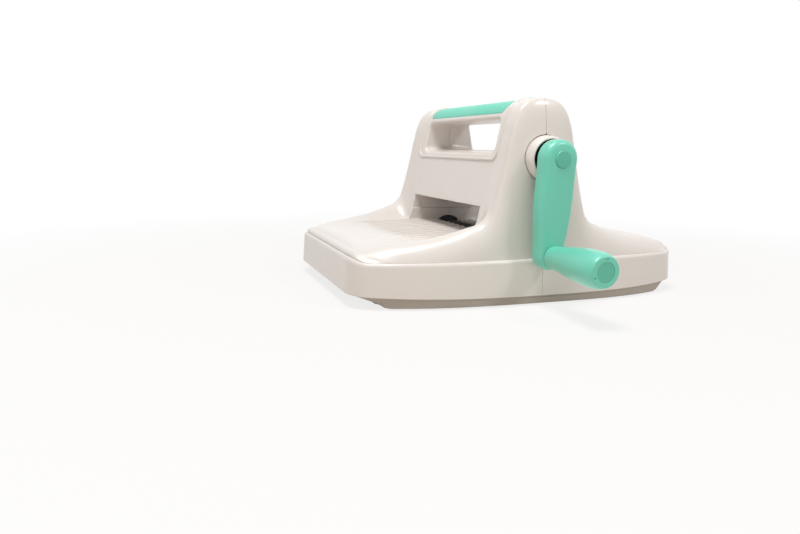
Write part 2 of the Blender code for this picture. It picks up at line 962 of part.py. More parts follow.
def mouth_cutter():
    """Feed passage with the low ledge along both jambs."""
    ledge_z = feed_floor + mouth_ledge_height
    low_half = mouth_half_width - mouth_ledge
    outline = [(-low_half, feed_floor), (low_half, feed_floor), (low_half, ledge_z),
               (mouth_half_width, ledge_z), (mouth_half_width, mouth_top),
               (-mouth_half_width, mouth_top), (-mouth_half_width, ledge_z),
               (-low_half, ledge_z)]
    return prism_y(outline, -half_length * centre_depth_share[5], overrun)


def bead_path(tree):
    """Trim bead: over the crown, down both sides of the handle and under it."""
    top_z = body_height - 2 * strip_thickness - handle_corner
    half = bead_half_width
    path = []
    for index in range(bead_turn_steps + 1):
        turn = math.pi / 2 * (1 - index / bead_turn_steps)
        path.append(bead_point(tree, half, top_z, turn))
    low = bead_bottom + bead_corner
    for index in range(1, bead_straight_steps + 1):
        height = top_z + (low - top_z) * index / bead_straight_steps
        path.append(bead_point(tree, half, height, 0))
    for index in range(1, bead_turn_steps + 1):
        turn = math.pi / 2 * index / bead_turn_steps
        x = half - bead_corner * (1 - math.cos(turn))
        path.append(bead_point(tree, x, low - bead_corner * math.sin(turn), 0))
    mirrored = [(Vector((-point.x, point.y, point.z)), Vector((-normal.x, normal.y, normal.z)))
                for point, normal in reversed(path)]
    return path + mirrored


def bead_point(tree, x, height, turn):
    """Surface point and normal seen from inside the tower."""
    ray = Vector((0, -math.cos(turn), math.sin(turn)))
    start = Vector((x, -seam_gap, height))
    hit = tree.ray_cast(start, ray)
    normal = hit[1]
    if normal.dot(ray) < 0:
        normal = -normal
    return hit[0], normal


def bead_mesh(tree):
    """Half sunk round bead along the path."""
    path = bead_path(tree)
    rings = []
    for index, (point, normal) in enumerate(path):
        before = path[max(index - 1, 0)][0]
        after = path[min(index + 1, len(path) - 1)][0]
        run = (after - before).normalized()
        across = run.cross(normal).normalized()
        up = across.cross(run).normalized()
        ring = []
        for side in range(bead_segments):
            turn = 2 * math.pi * side / bead_segments
            ring.append(point + across * bead_radius * math.cos(turn)
                        + up * bead_radius * math.sin(turn))
        rings.append(ring)
    mesh_data = bmesh.new()
    bridge(mesh_data, rings)
    return mesh_data


def shell_post(tree, x, y):
    """Screw post from the tray down to the base pan's pad."""
    top = surface_height(tree, x, y) - wall / 2
    return cylinder_z((x, y), post_radius, pad_top + seat_gap, top)


def mirrored_in_y(source, name, surface):
    """Rear copy of the front shell, turned the right way out."""
    mesh_data = bmesh.new()
    mesh_data.from_mesh(source.data)
    bmesh.ops.transform(mesh_data, matrix=Matrix.Scale(-1, 4, Vector((0, 1, 0))),
                        verts=mesh_data.verts)
    bmesh.ops.reverse_faces(mesh_data, faces=mesh_data.faces)
    return make_object(name, mesh_data, surface)


def make_shells(surface):
    """Front and rear shells with mouth, handle, ribs, posts and collar seat."""
    tree = outer_surface()
    shell = make_object("front_shell", shell_skin(), surface)
    fuse(shell, mouth_block())
    for side in (-1, 1):
        boolean(shell, jamb_block(side), "UNION")
    fuse(shell, handle_block())
    fuse(shell, collar_boss(tree))
    for x in (-shell_screw_x, shell_screw_x):
        fuse(shell, shell_post(tree, x, -shell_screw_y))
    cut(shell, mouth_cutter())
    for index in range(rib_count):
        x = (index - (rib_count - 1) / 2) * rib_pitch
        fuse(shell, rib_mesh(tree, x))
    fuse(shell, bead_mesh(tree))
    cut(shell, handle_cutter())
    pocket = tool(strip_solid(-overrun, strip_thickness + seat_gap, -seat_gap))
    intersect(pocket, strip_plan(-seat_gap))
    boolean(shell, pocket, "DIFFERENCE")
    for height, radius in ((lower_roller_z, lower_flange_radius),
                           (upper_roller_z, upper_flange_radius)):
        flange = radius + 2 * bush_clearance
        for side in (-1, 1):
            profile = [(roller_half_length, flange), (plate_inner + overrun, flange)]
            cut(shell, turned(on_side(profile, side), round_segments, (0.0, height)))
    cut(shell, turned([(collar_seat, collar_radius + seat_gap),
                       (collar_face + overrun, collar_radius + seat_gap)],
                      fine_segments, (0.0, crank_z)))
    spigot = collar_spigot_radius + seat_gap
    cut(shell, turned([(collar_seat - collar_pad - overrun, spigot),
                       (collar_face, spigot)], round_segments, (0.0, crank_z)))
    for x in (-shell_screw_x, shell_screw_x):
        cut(shell, cylinder_z((x, -shell_screw_y), screw_radius + seat_gap,
                              pad_top - overrun, pad_top + screw_reach))
    mirrored_in_y(shell, "rear_shell", surface)


def make_handle_strip(surface):
    """Mint strip that lies in the pocket of both shells."""
    strip = make_object("handle_strip", strip_solid(0, strip_thickness, seat_gap), surface)
    intersect(strip, strip_plan(seat_gap))


def full_outline(inset, height):
    """Closed ring round the whole base at one inset. Both ends rake in towards the bottom."""
    rake = pan_end_rake * (pan_top - height) / (pan_top - pan_bottom)
    limit = half_length - inset - pan_end_inset - rake
    right_front = [ring_point(turn, inset, height) for turn in thinned(perimeter_turns())]
    for point in right_front:
        point.y = max(point.y, -limit)
    left_front = [Vector((-point.x, point.y, point.z)) for point in reversed(right_front[1:])]
    front = left_front + right_front
    rear = [Vector((point.x, -point.y, point.z)) for point in reversed(front[1:-1])]
    return front + rear


def make_base_pan(surface):
    """Shallow pan whose wall stands inside the skirt, with pads, recesses and holes."""
    mesh_data = bmesh.new()
    bridge(mesh_data, [
        full_outline(pan_inset + pan_wall / 2, pan_bottom),
        full_outline(pan_inset, pan_bottom + pan_wall / 2),
        full_outline(pan_inset, pan_top),
        full_outline(pan_inset + pan_wall, pan_top),
        full_outline(pan_inset + pan_wall, pan_floor_top),
    ])
    pan = make_object("base_pan", mesh_data, surface)
    for x, y in shell_screw_places() + frame_screw_places():
        fuse(pan, cylinder_z((x, y), pad_radius, pan_bottom + pan_floor / 2, pad_top))
    for x, y in shell_screw_places() + frame_screw_places():
        cut(pan, cylinder_z((x, y), screw_head_radius + seat_gap, pan_bottom - overrun,
                            pan_bottom + screw_recess))
        cut(pan, cylinder_z((x, y), screw_radius + seat_gap, pan_bottom, pad_top + overrun))
    for x, y in foot_places():
        cut(pan, cylinder_z((x, y), foot_radius + seat_gap, pan_bottom - overrun,
                            pan_bottom + foot_recess, round_segments))


def corners(x, y):
    return [(side_x * x, side_y * y) for side_x in (-1, 1) for side_y in (-1, 1)]


def shell_screw_places():
    return corners(shell_screw_x, shell_screw_y)


def frame_screw_places():
    return corners(frame_screw_x, frame_screw_y)


def foot_places():
    return corners(foot_x, foot_y)


def corner_name(prefix, x, y):
    side = "right" if x > 0 else "left"
    end = "rear" if y > 0 else "front"
    return prefix + "_" + end + "_" + side


def turned_upright(profile, centre, segments=small_segments):
    """Revolve (height, radius) points round an upright axis."""
    mesh_data = bmesh.new()
    rings = []
    for height, radius in profile:
        rings.append([(centre[0] + radius * math.cos(2 * math.pi * index / segments),
                       centre[1] + radius * math.sin(2 * math.pi * index / segments), height)
                      for index in range(segments)])
    bridge(mesh_data, rings)
    return mesh_data


def make_feet(surface):
    """Rubber feet, rounded at the table."""
    top = pan_bottom + foot_recess - seat_gap
    for x, y in foot_places():
        profile = [(0, foot_radius - foot_proud / 2), (foot_proud / 2, foot_radius),
                   (top, foot_radius)]
        make_object(corner_name("foot", x, y),
                    turned_upright(profile, (x, y), round_segments), surface)


def make_screws(surface):
    """Pan screws, heads down in their counterbores."""
    for prefix, places in (("shell_screw", shell_screw_places()),
                           ("frame_screw", frame_screw_places())):
        for x, y in places:
            seat = pan_bottom + screw_recess - seat_gap
            profile = [(seat - screw_head_height, screw_head_radius),
                       (seat, screw_head_radius),
                       (seat, screw_radius),
                       (pad_top + screw_reach - screw_radius, screw_radius)]
            make_object(corner_name(prefix, x, y), turned_upright(profile, (x, y)), surface)


def d_outline(radius, flat):
    """Round outline with one flat at the top, as (y, z) points."""
    lean = math.asin(flat / radius)
    return arc((0, 0), radius, math.pi - lean, 2 * math.pi + lean, round_segments)


def side_plate(side, with_crank, surface):
    """Steel side plate with its foot flange bent outwards."""
    foot = pad_top + seat_gap
    head = crank_z - plate_head_drop if with_crank else upper_roller_z + roller_radius
    outline = [(-plate_foot_half_depth, foot), (plate_foot_half_depth, foot),
               (plate_foot_half_depth, lower_roller_z),
               (plate_waist_half_depth, upper_roller_z)]
    outline += arc((0, head), plate_head_radius, plate_shoulder_turn,
                   math.pi - plate_shoulder_turn, small_segments)
    outline += [(-plate_waist_half_depth, upper_roller_z),
                (-plate_foot_half_depth, lower_roller_z)]
    ends = sorted((side * plate_inner, side * plate_outer))
    name = "right_plate" if side > 0 else "left_plate"
    plate = make_object(name, prism_x(outline, ends[0], ends[1]), surface)
    flange_ends = sorted((side * (plate_outer - plate_thickness / 2),
                          side * (plate_outer + plate_flange)))
    fuse(plate, box((flange_ends[0], -plate_foot_half_depth, foot),
                    (flange_ends[1], plate_foot_half_depth, foot + plate_thickness)))
    start = min(ends) - overrun
    end = max(ends) + overrun
    bore = journal_radius + running_gap + bush_wall + seat_gap
    for height in (lower_roller_z, upper_roller_z):
        cut(plate, turned([(start, bore), (end, bore)], round_segments, (0.0, height)))
    if with_crank:
        bore = crank_shaft_radius + running_gap + bush_wall / 2 + seat_gap
        cut(plate, turned([(start, bore), (end, bore)], round_segments, (0.0, crank_z)))
        for y, z in bracket_post_places():
            hole = tie_spigot_radius / 2 + seat_gap
            cut(plate, turned([(start, hole), (end, hole)], small_segments, (y, z)))
    for y, z in tie_places():
        hole = tie_spigot_radius + seat_gap
        cut(plate, turned([(start, hole), (end, hole)], small_segments, (y, z)))
    for x, y in frame_screw_places():
        if x * side > 0:
            cut(plate, cylinder_z((x, y), screw_radius + seat_gap, foot - overrun,
                                  foot + plate_thickness + overrun))


def tie_places():
    return [(-low_tie_depth, low_tie_height), (low_tie_depth, low_tie_height),
            (-high_tie_depth, high_tie_height), (high_tie_depth, high_tie_height)]


def bracket_post_places():
    height = crank_z - bracket_post_drop
    return [(-bracket_post_depth, height), (bracket_post_depth, height)]


def make_tie_rods(surface):
    """Rods that hold the side plates apart, with spigots through them."""
    names = ("low_front_tie", "low_rear_tie", "high_front_tie", "high_rear_tie")
    shoulder = plate_inner - seat_gap
    tip = plate_outer + tie_spigot_proud
    for name, place in zip(names, tie_places()):
        profile = [(-tip, tie_spigot_radius), (-shoulder, tie_spigot_radius),
                   (-shoulder, tie_rod_radius), (shoulder, tie_rod_radius),
                   (shoulder, tie_spigot_radius), (tip, tie_spigot_radius)]
        make_object(name, turned(profile, small_segments, place), surface)


def journal_profile(geared):
    """Right hand end of a roller, from the barrel out, with a ring groove if geared."""
    points = [(roller_half_length - roller_chamfer, roller_radius),
              (roller_half_length, roller_radius - roller_chamfer),
              (roller_half_length, journal_radius)]
    if not geared:
        return points + [(plate_outer + tie_spigot_proud, journal_radius)]
    start = gear_outer + hub_width
    end = start + ring_width + 2 * seat_gap
    depth = journal_radius * flat_share - seat_gap
    return points + [(start, journal_radius), (start, depth), (end, depth),
                     (end, journal_radius), (journal_end, journal_radius)]


def flatten_journal(target, side, height):
    """Flat on the outer stretch of a journal, where its gear sits."""
    start = gear_inner
    flat = journal_radius * flat_share
    ends = sorted((side * start, side * (journal_end + overrun)))
    cut(target, box((ends[0], -2 * journal_radius, height + flat),
                    (ends[1], 2 * journal_radius, height + 2 * journal_radius)))


def make_rollers(surface, parents):
    """Upper roller with two gear seats, lower roller with one."""
    left = on_side(journal_profile(True), -1)
    upper = make_object("upper_roller", turned(left + journal_profile(True), round_segments),
                        surface, parents["upper"])
    lower = make_object("lower_roller", turned(left + journal_profile(False), round_segments),
                        surface, parents["lower"])
    flatten_journal(upper, 1, 0)
    flatten_journal(upper, -1, 0)
    flatten_journal(lower, -1, 0)


def make_roller_bushes(surface):
    """Black flanged bushes between the rollers and the side plates."""
    sleeve = journal_radius + running_gap + bush_wall
    start = roller_half_length + bush_clearance
    shoulder = plate_inner - bush_clearance
    bore = journal_radius + running_gap
    for level, height, flange in (("lower", lower_roller_z, lower_flange_radius),
                                  ("upper", upper_roller_z, upper_flange_radius)):
        for side, label in ((-1, "left"), (1, "right")):
            profile = [(start, flange - roller_chamfer),
                       (start + roller_chamfer, flange),
                       (shoulder, flange),
                       (shoulder, sleeve), (plate_outer, sleeve)]
            bush = turned_with_bore(on_side(profile, side), bore, round_segments, (0.0, height))
            make_object(level + "_" + label + "_bush", bush, surface)


def involute(base, radius):
    """Angle that the involute of a base circle has turned at a radius."""
    if radius <= base:
        return 0.0
    pressure = math.acos(base / radius)
    return math.tan(pressure) - pressure


def gear_outline(module, teeth, shift, phase):
    """Involute gear outline as (y, z) points, with one tooth centred on phase."""
    pitch = module * teeth / 2
    base = pitch * math.cos(pressure_angle)
    tip = pitch + module * (1 + shift)
    root = pitch - module * (1.25 - shift)
    thickness = module * (math.pi / 2 + 2 * shift * math.tan(pressure_angle))
    half = (thickness - gear_backlash) / 2 / pitch
    points = []
    for tooth in range(teeth):
        centre = phase + 2 * math.pi * tooth / teeth
        flank = []
        for step in range(gear_flank_steps + 1):
            radius = root + (tip - root) * step / gear_flank_steps
            flank.append((radius, half + involute(base, pitch) - involute(base, radius)))
        for radius, spread in flank:
            points.append((radius * math.cos(centre - spread), radius * math.sin(centre - spread)))
        for radius, spread in reversed(flank):
            points.append((radius * math.cos(centre + spread), radius * math.sin(centre + spread)))
    return points


def make_gear(name, module, teeth, shift, phase, side, bore, surface, parent):
    """Toothed disc with a D bore, and an outboard hub where it sits on a roller."""
    ends = sorted((side * gear_inner, side * gear_outer))
    outline = gear_outline(module, teeth, shift, phase)
    gear = make_object(name, prism_x(outline, ends[0], ends[1]), surface, parent)
    if teeth > pinion_teeth:
        profile = [(gear_outer - gear_width / 2, bore + hub_wall),
                   (gear_outer + hub_width, bore + hub_wall)]
        fuse(gear, turned(on_side(profile, side), round_segments))
    outline = d_outline(bore, (bore - running_gap) * flat_share + running_gap)
    cut(gear, prism_x(outline, ends[0] - overrun, ends[1] + overrun))


def make_gears(surface, parents):
    """Pinion and drive gear on the right, sync gears on the left."""
    bore = journal_radius + running_gap
    quarter = math.pi / 2
    make_gear("drive_gear", gear_module, drive_teeth, -pinion_shift,
              quarter + math.pi / drive_teeth, 1, bore, surface, parents["upper"])
    make_gear("crank_pinion", gear_module, pinion_teeth, pinion_shift, -quarter - crank_hang, 1,
              crank_shaft_radius + running_gap, surface, parents["crank"])
    make_gear("upper_sync_gear", sync_module, sync_teeth, 0, -quarter, -1,
              bore, surface, parents["upper"])
    make_gear("lower_sync_gear", sync_module, sync_teeth, 0, quarter + math.pi / sync_teeth, -1,
              bore, surface, parents["lower"])


def ring_mesh(side, shaft):
    """Open retaining ring beyond a gear's hub, snapped round the journal."""
    inner = shaft * flat_share
    outer = shaft + ring_reach
    start = gear_outer + hub_width + seat_gap
    ends = sorted((side * start, side * (start + ring_width)))
    low = -math.pi / 2 + ring_opening / 2
    high = 3 * math.pi / 2 - ring_opening / 2
    outline = arc((0, 0), outer, low, high, small_segments)
    outline += arc((0, 0), inner, high, low, small_segments)
    return prism_x(outline, ends[0], ends[1])


def make_retaining_rings(surface, parents):
    """Rings in grooves near the journals' ends."""
    places = (("drive_gear_ring", "upper", 1), ("upper_sync_ring", "upper", -1),
              ("lower_sync_ring", "lower", -1))
    for name, parent, side in places:
        make_object(name, ring_mesh(side, journal_radius), surface, parents[parent])


def make_crank_shaft(surface, parent):
    """Stepped shaft from the plate bush out to the crank arm."""
    inner = plate_inner + seat_gap
    outer = arm_outer - cap_thickness - crank_screw_head_height - 2 * seat_gap
    shaft = make_object("crank_shaft",
                        turned([(inner, crank_shaft_radius), (outer, crank_shaft_radius)],
                               round_segments), surface, parent)
    flat = crank_shaft_radius * flat_share
    wide = 2 * crank_shaft_radius
    cut(shaft, box((gear_inner - seat_gap, -wide, flat), (gear_outer + seat_gap, wide, wide)))
    cut(shaft, box((arm_inner, -wide, flat), (outer + overrun, wide, wide)))
    screw = crank_screw_radius + seat_gap
    cut(shaft, turned([(outer - crank_screw_length, screw), (outer + overrun, screw)],
                      small_segments))


def make_crank_bushes(bush_surface):
    """Flanged bushes in the side plate and the bracket."""
    bore = crank_shaft_radius + running_gap
    sleeve = bore + bush_wall / 2
    flange_end = gear_inner - running_gap
    profile = [(plate_inner + seat_gap, sleeve), (plate_outer + seat_gap, sleeve),
               (plate_outer + seat_gap, crank_bush_flange_radius),
               (flange_end, crank_bush_flange_radius)]
    make_object("crank_plate_bush", turned_with_bore(profile, bore, round_segments,
                                                     (0.0, crank_z)), bush_surface)
    profile = [(bracket_inner, sleeve), (bracket_outer + seat_gap, sleeve),
               (bracket_outer + seat_gap, crank_bush_flange_radius),
               (bracket_outer + seat_gap + bracket_flange, crank_bush_flange_radius)]
    make_object("crank_bracket_bush", turned_with_bore(profile, bore, round_segments,
                                                       (0.0, crank_z)), bush_surface)


def make_bracket(surface):
    """Bearing bracket on two posts, outboard of the pinion."""
    height = crank_z - bracket_post_drop
    quarter = math.pi / 2
    spread = quarter * bracket_arc_share
    outline = arc((bracket_post_depth, height), bracket_end_radius, -quarter, quarter,
                  small_segments)
    outline += arc((0, crank_z), bracket_middle_radius, quarter - spread, quarter + spread,
                   small_segments)
    outline += arc((-bracket_post_depth, height), bracket_end_radius, quarter, 3 * quarter,
                   small_segments)
    outline += arc((0, crank_z), bracket_middle_radius, 3 * quarter - spread,
                   3 * quarter + spread, small_segments)
    bracket = make_object("crank_bracket", prism_x(outline, bracket_inner, bracket_outer),
                          surface)
    ends = (bracket_inner - overrun, bracket_outer + overrun)
    bore = crank_shaft_radius + running_gap + bush_wall / 2 + seat_gap
    cut(bracket, turned([(end, bore) for end in ends], round_segments, (0.0, crank_z)))
    hole = tie_spigot_radius / 2 + seat_gap
    for place in bracket_post_places():
        cut(bracket, turned([(end, hole) for end in ends], small_segments, place))
    spigot = tie_spigot_radius / 2
    for name, place in zip(("bracket_post_front", "bracket_post_rear"), bracket_post_places()):
        profile = [(plate_inner + seat_gap, spigot), (plate_outer + seat_gap, spigot),
                   (plate_outer + seat_gap, bracket_post_radius),
                   (bracket_inner - seat_gap, bracket_post_radius),
                   (bracket_inner - seat_gap, spigot),
                   (bracket_outer + bracket_flange, spigot)]
        make_object(name, turned(profile, small_segments, place), surface)


def make_collar(surface):
    """White bearing collar in the right wall, at the seam."""
    bore = crank_shaft_radius + running_gap
    start = collar_seat - collar_spigot_length
    seat = collar_seat + seat_gap
    face = collar_face
    profile = [(start, collar_spigot_radius), (seat, collar_spigot_radius), (seat, collar_radius)]
    for index in range(section_steps + 1):
        turn = math.pi / 2 * index / section_steps
        profile.append((face - collar_round * (1 - math.sin(turn)),
                        collar_radius - collar_round * (1 - math.cos(turn))))
    profile += [(face, collar_radius - collar_round - collar_lip),
                (face - collar_recess, collar_radius - collar_round - collar_lip - collar_recess)]
    make_object("crank_collar", turned_with_bore(profile, bore, fine_segments, (0.0, crank_z)),
                surface)


def arm_outline(inset):
    """Tapered arm outline about the shaft axis: wide round head, narrower round end."""
    head = arm_head_radius - inset
    end = arm_end_radius - inset
    lean = math.asin((head - end) / crank_length)
    points = arc((0, 0), head, -lean, math.pi + lean, fine_segments // 2)
    points += arc((0, -crank_length), end, math.pi + lean, 2 * math.pi - lean, small_segments)
    return points


def make_crank_arm(surface, parent):
    """Arm with a soft outer edge, a cap pocket, a D bore and the grip pin's hole."""
    mesh_data = bmesh.new()
    rings = [[(arm_inner, y, z) for y, z in arm_outline(arm_back_round)],
             [(arm_inner + arm_back_round, y, z) for y, z in arm_outline(0)]]
    for index in range(section_steps + 1):
        turn = math.pi / 2 * index / section_steps
        inset = arm_edge_round * (1 - math.cos(turn))
        along = arm_outer - arm_edge_round * (1 - math.sin(turn))
        rings.append([(along, y, z) for y, z in arm_outline(inset)])
    bridge(mesh_data, rings)
    arm = make_object("crank_arm", mesh_data, surface, parent)
    neck_start = collar_face + running_gap
    fuse(arm, turned([(neck_start, arm_neck_radius), (arm_inner + arm_back_round,
                                                      arm_neck_radius)], round_segments))
    bore = crank_shaft_radius + seat_gap
    outline = d_outline(bore, crank_shaft_radius * flat_share + seat_gap)
    cut(arm, prism_x(outline, arm_inner, arm_outer + overrun))
    cut(arm, turned([(neck_start - overrun, bore), (arm_inner + seat_gap, bore)],
                    round_segments))
    pocket = cap_radius + seat_gap
    floor = arm_outer - cap_thickness - crank_screw_head_height
    cut(arm, turned([(floor, pocket), (arm_outer + overrun, pocket)], round_segments))
    pin = grip_pin_radius + seat_gap
    cut(arm, turned([(arm_outer - grip_pin_seat, pin), (arm_outer + overrun, pin)],
                    small_segments, (0.0, -crank_length)))


def make_crank_trim(cap_surface, steel, parent):
    """Screw that holds the arm on the shaft, and the cap over it."""
    seat = arm_outer - cap_thickness - crank_screw_head_height
    head_end = seat + crank_screw_head_height - 2 * seat_gap
    start = seat - crank_screw_length + 2 * crank_screw_radius
    profile = [(start, crank_screw_radius), (seat, crank_screw_radius),
               (seat, crank_screw_head_radius), (head_end, crank_screw_head_radius)]
    make_object("crank_screw", turned(profile, small_segments), steel, parent)
    cap_start = arm_outer - cap_thickness
    cap_end = arm_outer + cap_proud
    profile = [(cap_start, cap_radius), (cap_end - cap_round, cap_radius),
               (cap_end, cap_radius - cap_round)]
    make_object("crank_cap", turned(profile, round_segments), cap_surface, parent)


def grip_profile():
    """Flared grip: neck, growing belly and a rounded end."""
    points = [(grip_start, grip_neck_radius)]
    belly = grip_length * grip_belly_share
    for index in range(1, grip_steps + 1):
        share = index / grip_steps
        grow = math.sin(share * math.pi / 2) ** grip_flare_power
        points.append((grip_start + belly * share,
                       grip_neck_radius + (grip_belly_radius - grip_neck_radius) * grow))
    for index in range(1, section_steps + 2):
        turn = math.pi / 2 * index / (section_steps + 1)
        points.append((grip_start + belly + (grip_length - belly) * math.sin(turn),
                       grip_end_radius + (grip_belly_radius - grip_end_radius) * math.cos(turn)))
    return points


def make_grip(surface, cap_surface, steel, parents):
    """Turning grip on its pin, with the end cap pressed over the pin's head."""
    grip = make_object("crank_grip",
                       turned_with_bore(grip_profile(), grip_pin_radius + running_gap,
                                        round_segments), surface, parents["grip"])
    cap_end = grip_tip - grip_cap_recess
    cap_start = cap_end - grip_cap_thickness
    head_start = cap_start - grip_pin_head_height - 2 * running_gap
    cut(grip, turned([(head_start - running_gap, grip_pin_head_radius + running_gap),
                      (cap_start, grip_pin_head_radius + running_gap)], round_segments))
    cut(grip, turned([(cap_start - seat_gap, grip_cap_radius + seat_gap),
                      (grip_tip + overrun, grip_cap_radius + seat_gap)], round_segments))
    pin_end = head_start + grip_pin_head_height
    profile = [(arm_outer - grip_pin_seat + seat_gap, grip_pin_radius),
               (head_start, grip_pin_radius), (head_start, grip_pin_head_radius),
               (pin_end, grip_pin_head_radius)]
    make_object("grip_pin", turned(profile, small_segments, (0.0, -crank_length)), steel,
                parents["crank"])
    cap = make_object("grip_cap", turned([(cap_start, grip_cap_radius),
                                          (cap_end, grip_cap_radius)], round_segments),
                      cap_surface, parents["grip"])
    for turn in pit_turns:
        cut(cap, turned([(cap_end - pit_depth, pit_radius), (cap_end + overrun, pit_radius)],
                        small_segments,
                        (pit_offset * math.cos(turn), pit_offset * math.sin(turn))))


def make_axes():
    """Empties on the joint axes, which carry the moving pieces."""
    places = {"upper": (0.0, 0.0, upper_roller_z), "lower": (0.0, 0.0, lower_roller_z),
              "crank": (0.0, 0.0, crank_z), "grip": (0.0, 0.0, -crank_length)}
    made = {}
    for name, place in places.items():
        made[name] = bpy.data.objects.new(name + "_axis", None)
        made[name].location = place
        bpy.context.scene.collection.objects.link(made[name])
    made["crank"].rotation_euler = (crank_hang, 0.0, 0.0)
    made["grip"].parent = made["crank"]
    return made


def main():
    clear_scene()
    white = material("white_plastic", (0.83, 0.80, 0.78), 0.28)
    mint = material("mint_plastic", (0.16, 0.66, 0.47), 0.32)
    mint_dark = material("mint_cap", (0.10, 0.50, 0.36), 0.35)
    lip = material("pan_plastic", (0.45, 0.40, 0.35), 0.5)
    black = material("black_plastic", (0.02, 0.02, 0.022), 0.45)
    roller_black = material("roller_black", (0.025, 0.025, 0.027), 0.35, 0.3)
    steel = material("steel", (0.55, 0.55, 0.56), 0.35, 1.0)
    bronze = material("bronze", (0.62, 0.42, 0.22), 0.4, 1.0)
    rubber = material("rubber", (0.03, 0.03, 0.03), 0.85)
    axes = make_axes()
    make_shells(white)
    make_handle_strip(mint)
    make_base_pan(lip)
    make_feet(rubber)
    make_screws(steel)
    side_plate(-1, False, steel)
    side_plate(1, True, steel)
    make_tie_rods(steel)
    make_rollers(roller_black, axes)
    make_roller_bushes(black)
    make_gears(steel, axes)
    make_retaining_rings(steel, axes)
    make_crank_shaft(steel, axes["crank"])
    make_crank_bushes(bronze)
    make_bracket(steel)
    make_collar(white)
    make_crank_arm(mint, axes["crank"])
    make_crank_trim(mint_dark, steel, axes["crank"])
    make_grip(mint, mint_dark, steel, axes)
    for made in bpy.data.objects:
        if made.parent is None:
            made.location.x -= machine_middle
    bpy.context.view_layer.update()


main()
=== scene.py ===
import math

import bmesh
import bpy
from bpy.props import FloatProperty, FloatVectorProperty, IntProperty, PointerProperty
from mathutils import Matrix, Vector
from mathutils.bvhtree import BVHTree


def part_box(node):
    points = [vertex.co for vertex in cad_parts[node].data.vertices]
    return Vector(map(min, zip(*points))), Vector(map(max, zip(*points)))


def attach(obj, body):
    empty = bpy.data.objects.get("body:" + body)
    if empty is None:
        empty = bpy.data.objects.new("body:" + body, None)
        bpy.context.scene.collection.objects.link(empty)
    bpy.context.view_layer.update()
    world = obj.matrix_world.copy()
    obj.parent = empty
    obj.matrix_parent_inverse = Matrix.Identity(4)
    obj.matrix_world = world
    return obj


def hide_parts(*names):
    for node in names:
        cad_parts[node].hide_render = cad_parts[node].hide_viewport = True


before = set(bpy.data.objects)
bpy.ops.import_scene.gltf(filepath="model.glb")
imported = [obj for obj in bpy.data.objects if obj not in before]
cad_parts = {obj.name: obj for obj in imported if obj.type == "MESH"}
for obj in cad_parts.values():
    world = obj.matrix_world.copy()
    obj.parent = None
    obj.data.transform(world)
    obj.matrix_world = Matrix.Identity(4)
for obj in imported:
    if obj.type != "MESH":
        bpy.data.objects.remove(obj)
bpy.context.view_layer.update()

bl_info = {
    "name": "Die Cutting Machine",
    "version": (1, 0, 0),
    "blender": (4, 5, 0),
    "location": "3D View > Sidebar > Die Cutter",
    "description": "Dresses a hand cranked die cutting machine: mouldings, crank and finishes",
    "category": "Add Mesh",
}

# Rows of the housing from the tray's front edge to the seam. Depths are shares of the half
# length, and crests of the body's height. The middle stands at a share of the feed floor's
# height, with a share of what is left above it from the tower's foot on.
CREST_DEPTHS = (0.958, 0.902, 0.810, 0.675, 0.516, 0.3925, 0.3310, 0.2890, 0.2690,
                0.2425, 0.2140, 0.1895, 0.1645, 0.1380, 0.0980, 0.0490, 0.0)
CREST_HEIGHTS = (0.2540, 0.2760, 0.2950, 0.3130, 0.3420, 0.3780, 0.4000, 0.4420, 0.4915,
                 0.5855, 0.7005, 0.8105, 0.8940, 0.9440, 0.9790, 0.9952, 1.0)
CENTRE_DEPTHS = (0.972, 0.915, 0.820, 0.680, 0.510, 0.370, 0.312, 0.2850, 0.2720,
                 0.2460, 0.2110, 0.1690, 0.1400, 0.1190, 0.0860, 0.0430, 0.0)
TRAY_HEIGHTS = (0.8760, 0.9400, 0.9520, 0.9620, 0.9770, 0.9896, 1.0, 1.0, 1.0,
                1.0, 1.0, 1.0, 1.0, 1.0, 1.0, 1.0, 1.0)
FACE_HEIGHTS = (0.0, 0.0, 0.0, 0.0, 0.0, 0.0, 0.0, 0.0256, 0.0829,
                0.2391, 0.4440, 0.7120, 0.8782, 0.9355, 0.9756, 0.9943, 1.0)
RIM_DEPTHS = (0.905, 0.860, 0.780, 0.650, 0.495, 0.375, 0.315, 0.268, 0.232,
              0.190, 0.148, 0.112, 0.085, 0.062, 0.040, 0.019, 0.0)
ARCH_BLENDS = (0.0, 0.0, 0.0, 0.05, 0.2, 0.55, 0.75, 0.9, 1.0,
               1.0, 1.0, 1.0, 1.0, 1.0, 1.0, 1.0, 1.0)
CORNER_SOFTNESS = 0.9
SOFT_ROWS = 5  # rows over which the corner's softness fades
MOUTH_ROW = 5  # the passage is cut from this row's depth on
TOWER_ROW = 6  # ribs follow the tray in front of this row
SHOULDER_POWER = 2.0
SHOULDER_GAIN = 0.3
SLOPE_MARKS = ((0.0, 0.0), (0.3, 1 / 3), (0.65, 2 / 3), (1.0, 1.0))
SIDE_MARKS = ((0.0, 0.0), (0.16, 0.2), (0.33, 0.4), (0.53, 0.6), (0.75, 0.8), (1.0, 1.0))

# Places on the body's outline: 0-1 along the front, 1-2 round the corner, 2-3 up the side.
FLAT_END = 0.82
SLOPE_END = 1.12
CORNER = 1.5
SIDE_END = 3.0
TURN_STEP = 0.01
LIP_FADE = 0.45  # on each side of the corner's middle

